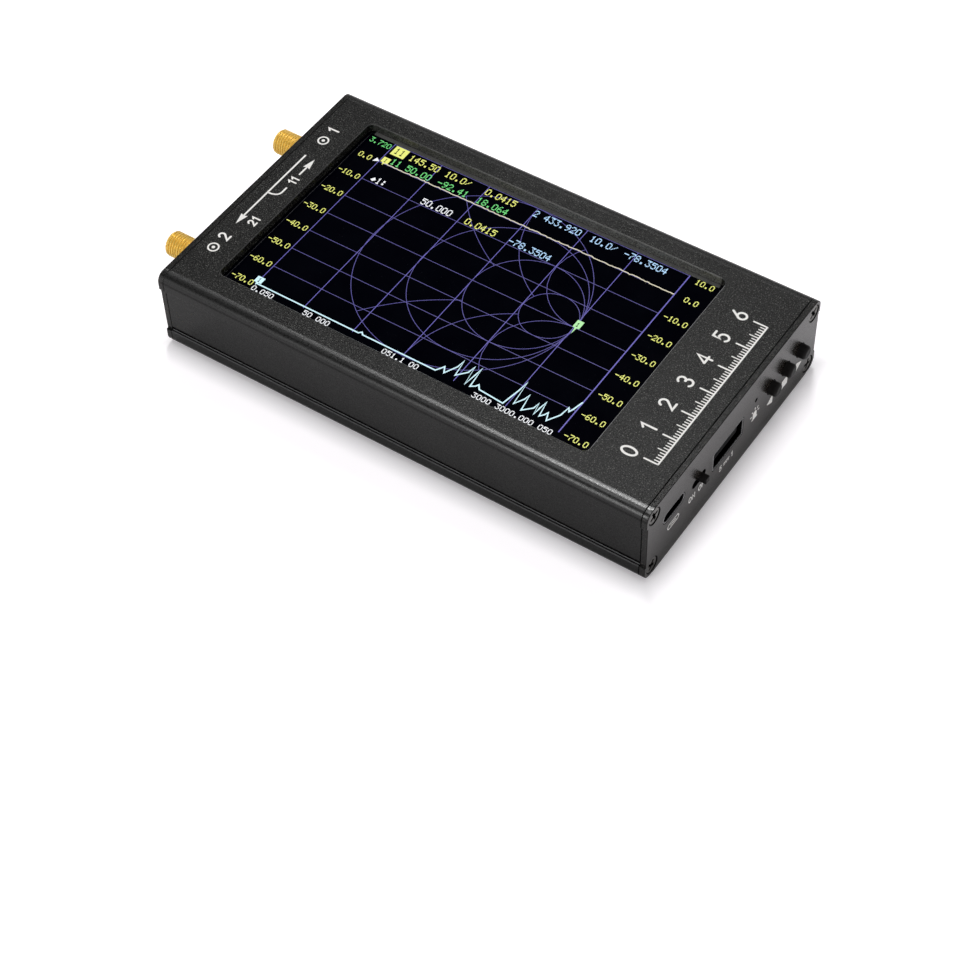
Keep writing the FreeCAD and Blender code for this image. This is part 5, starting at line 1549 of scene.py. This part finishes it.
def make_camera():
    data = bpy.data.cameras.new("camera")
    data.lens = CAMERA_LENS
    data.sensor_width = 36.0
    data.clip_start, data.clip_end = 0.01, 20
    camera = placed("camera", data)
    way = (CAMERA_AIM - CAMERA_PLACE).to_track_quat("-Z", "Y").to_matrix().to_4x4()
    camera.matrix_world = (Matrix.Translation(CAMERA_PLACE * MM) @ way
                           @ Matrix.Rotation(math.radians(CAMERA_ROLL), 4, "Z"))
    bpy.context.scene.camera = camera


def make_floor():
    """White floor with a painted soft shadow round the object, and painted dim next to the object
    where glossy faces mirror it.
    """
    half = FLOOR_SIZE / 2
    corners = [(x, y, -FLOOR_DROP) for x, y in ((-half, -half), (half, -half), (half, half),
                                                (-half, half))]
    floor = piece("floor", [(corners, [(0, 1, 2, 3)])], body=None)
    f = Finish("floor_white", 0.9, specular=0.0)
    f.colour(f.ramp(f.noise(60.0), (0.3, "f3f2f4"), (0.7, "f7f6f8")))
    f.shader["Emission Color"].default_value = FLOOR_GLOW
    x, y, _ = f.axes(f.place)
    beside = f.math("MAXIMUM", f.math("SUBTRACT", f.away(x), front_x * MM),
                    f.math("SUBTRACT", f.away(y), half_w * MM))
    direct = f.node("ShaderNodeLightPath").outputs["Is Camera Ray"]
    mirrored_ray = f.math("SUBTRACT", f.seen(), direct)
    # painted shadow: the floor's glow seen by the camera is lower next to the object
    own = f.math("MULTIPLY", direct, f.scaled(beside, *FLOOR_OWN, 0.0, SHADOW_REACH * MM))
    first, last = MIRRORED_REACH
    # painted shade: the floor's glow seen in reflections is dark next to the object
    shown = f.math("MULTIPLY", mirrored_ray,
                   f.scaled(beside, *FLOOR_MIRRORED, first * MM, last * MM))
    f.link(f.math("ADD", own, shown), f.shader["Emission Strength"])
    floor.data.materials.append(f.material)


def make_world():
    """White walls, a grey ceiling and a dark screen; the camera itself sees white all round."""
    world = bpy.data.worlds.new("studio")
    world.use_nodes = True
    n = Nodes(world.node_tree)
    ground = n.tree.nodes["Background"]
    way = n.node("ShaderNodeTexCoord").outputs["Generated"]
    dome = n.ramp(n.axes(way)[2], (WALLS_TOP, WHITE), (CEILING_START, CEILING))
    facing = n.node("ShaderNodeVectorMath", operation="DOT_PRODUCT")
    n.link(way, facing.inputs[0])
    facing.inputs[1].default_value = DARK_SIDE
    screen = n.ramp(facing.outputs["Value"], (DARK_EDGE, WHITE), (DARK_CORE, DARK))
    direct = n.node("ShaderNodeLightPath").outputs["Is Camera Ray"]
    n.link(n.mixed(n.mixed(dome, screen, 1.0, "MULTIPLY"), WHITE, direct), ground.inputs["Color"])
    strength = n.math("MAXIMUM", n.scaled(n.seen(), WORLD_FILL, WORLD_MIRRORED), direct)
    n.link(strength, ground.inputs["Strength"])
    bpy.context.scene.world = world


def make_lamps():
    for name, (place, sides, watts) in LAMPS.items():
        data = bpy.data.lights.new(name, "AREA")
        data.shape = "RECTANGLE"
        data.size, data.size_y = sides
        data.energy = watts
        lamp = placed(name, data)
        lamp.location = place
        lamp.rotation_euler = (-Vector(place)).to_track_quat("-Z", "Y").to_euler()


bpy.context.scene.view_settings.view_transform = "Standard"
make_camera()
make_floor()
make_world()
make_lamps()
build()
dress_nodes()
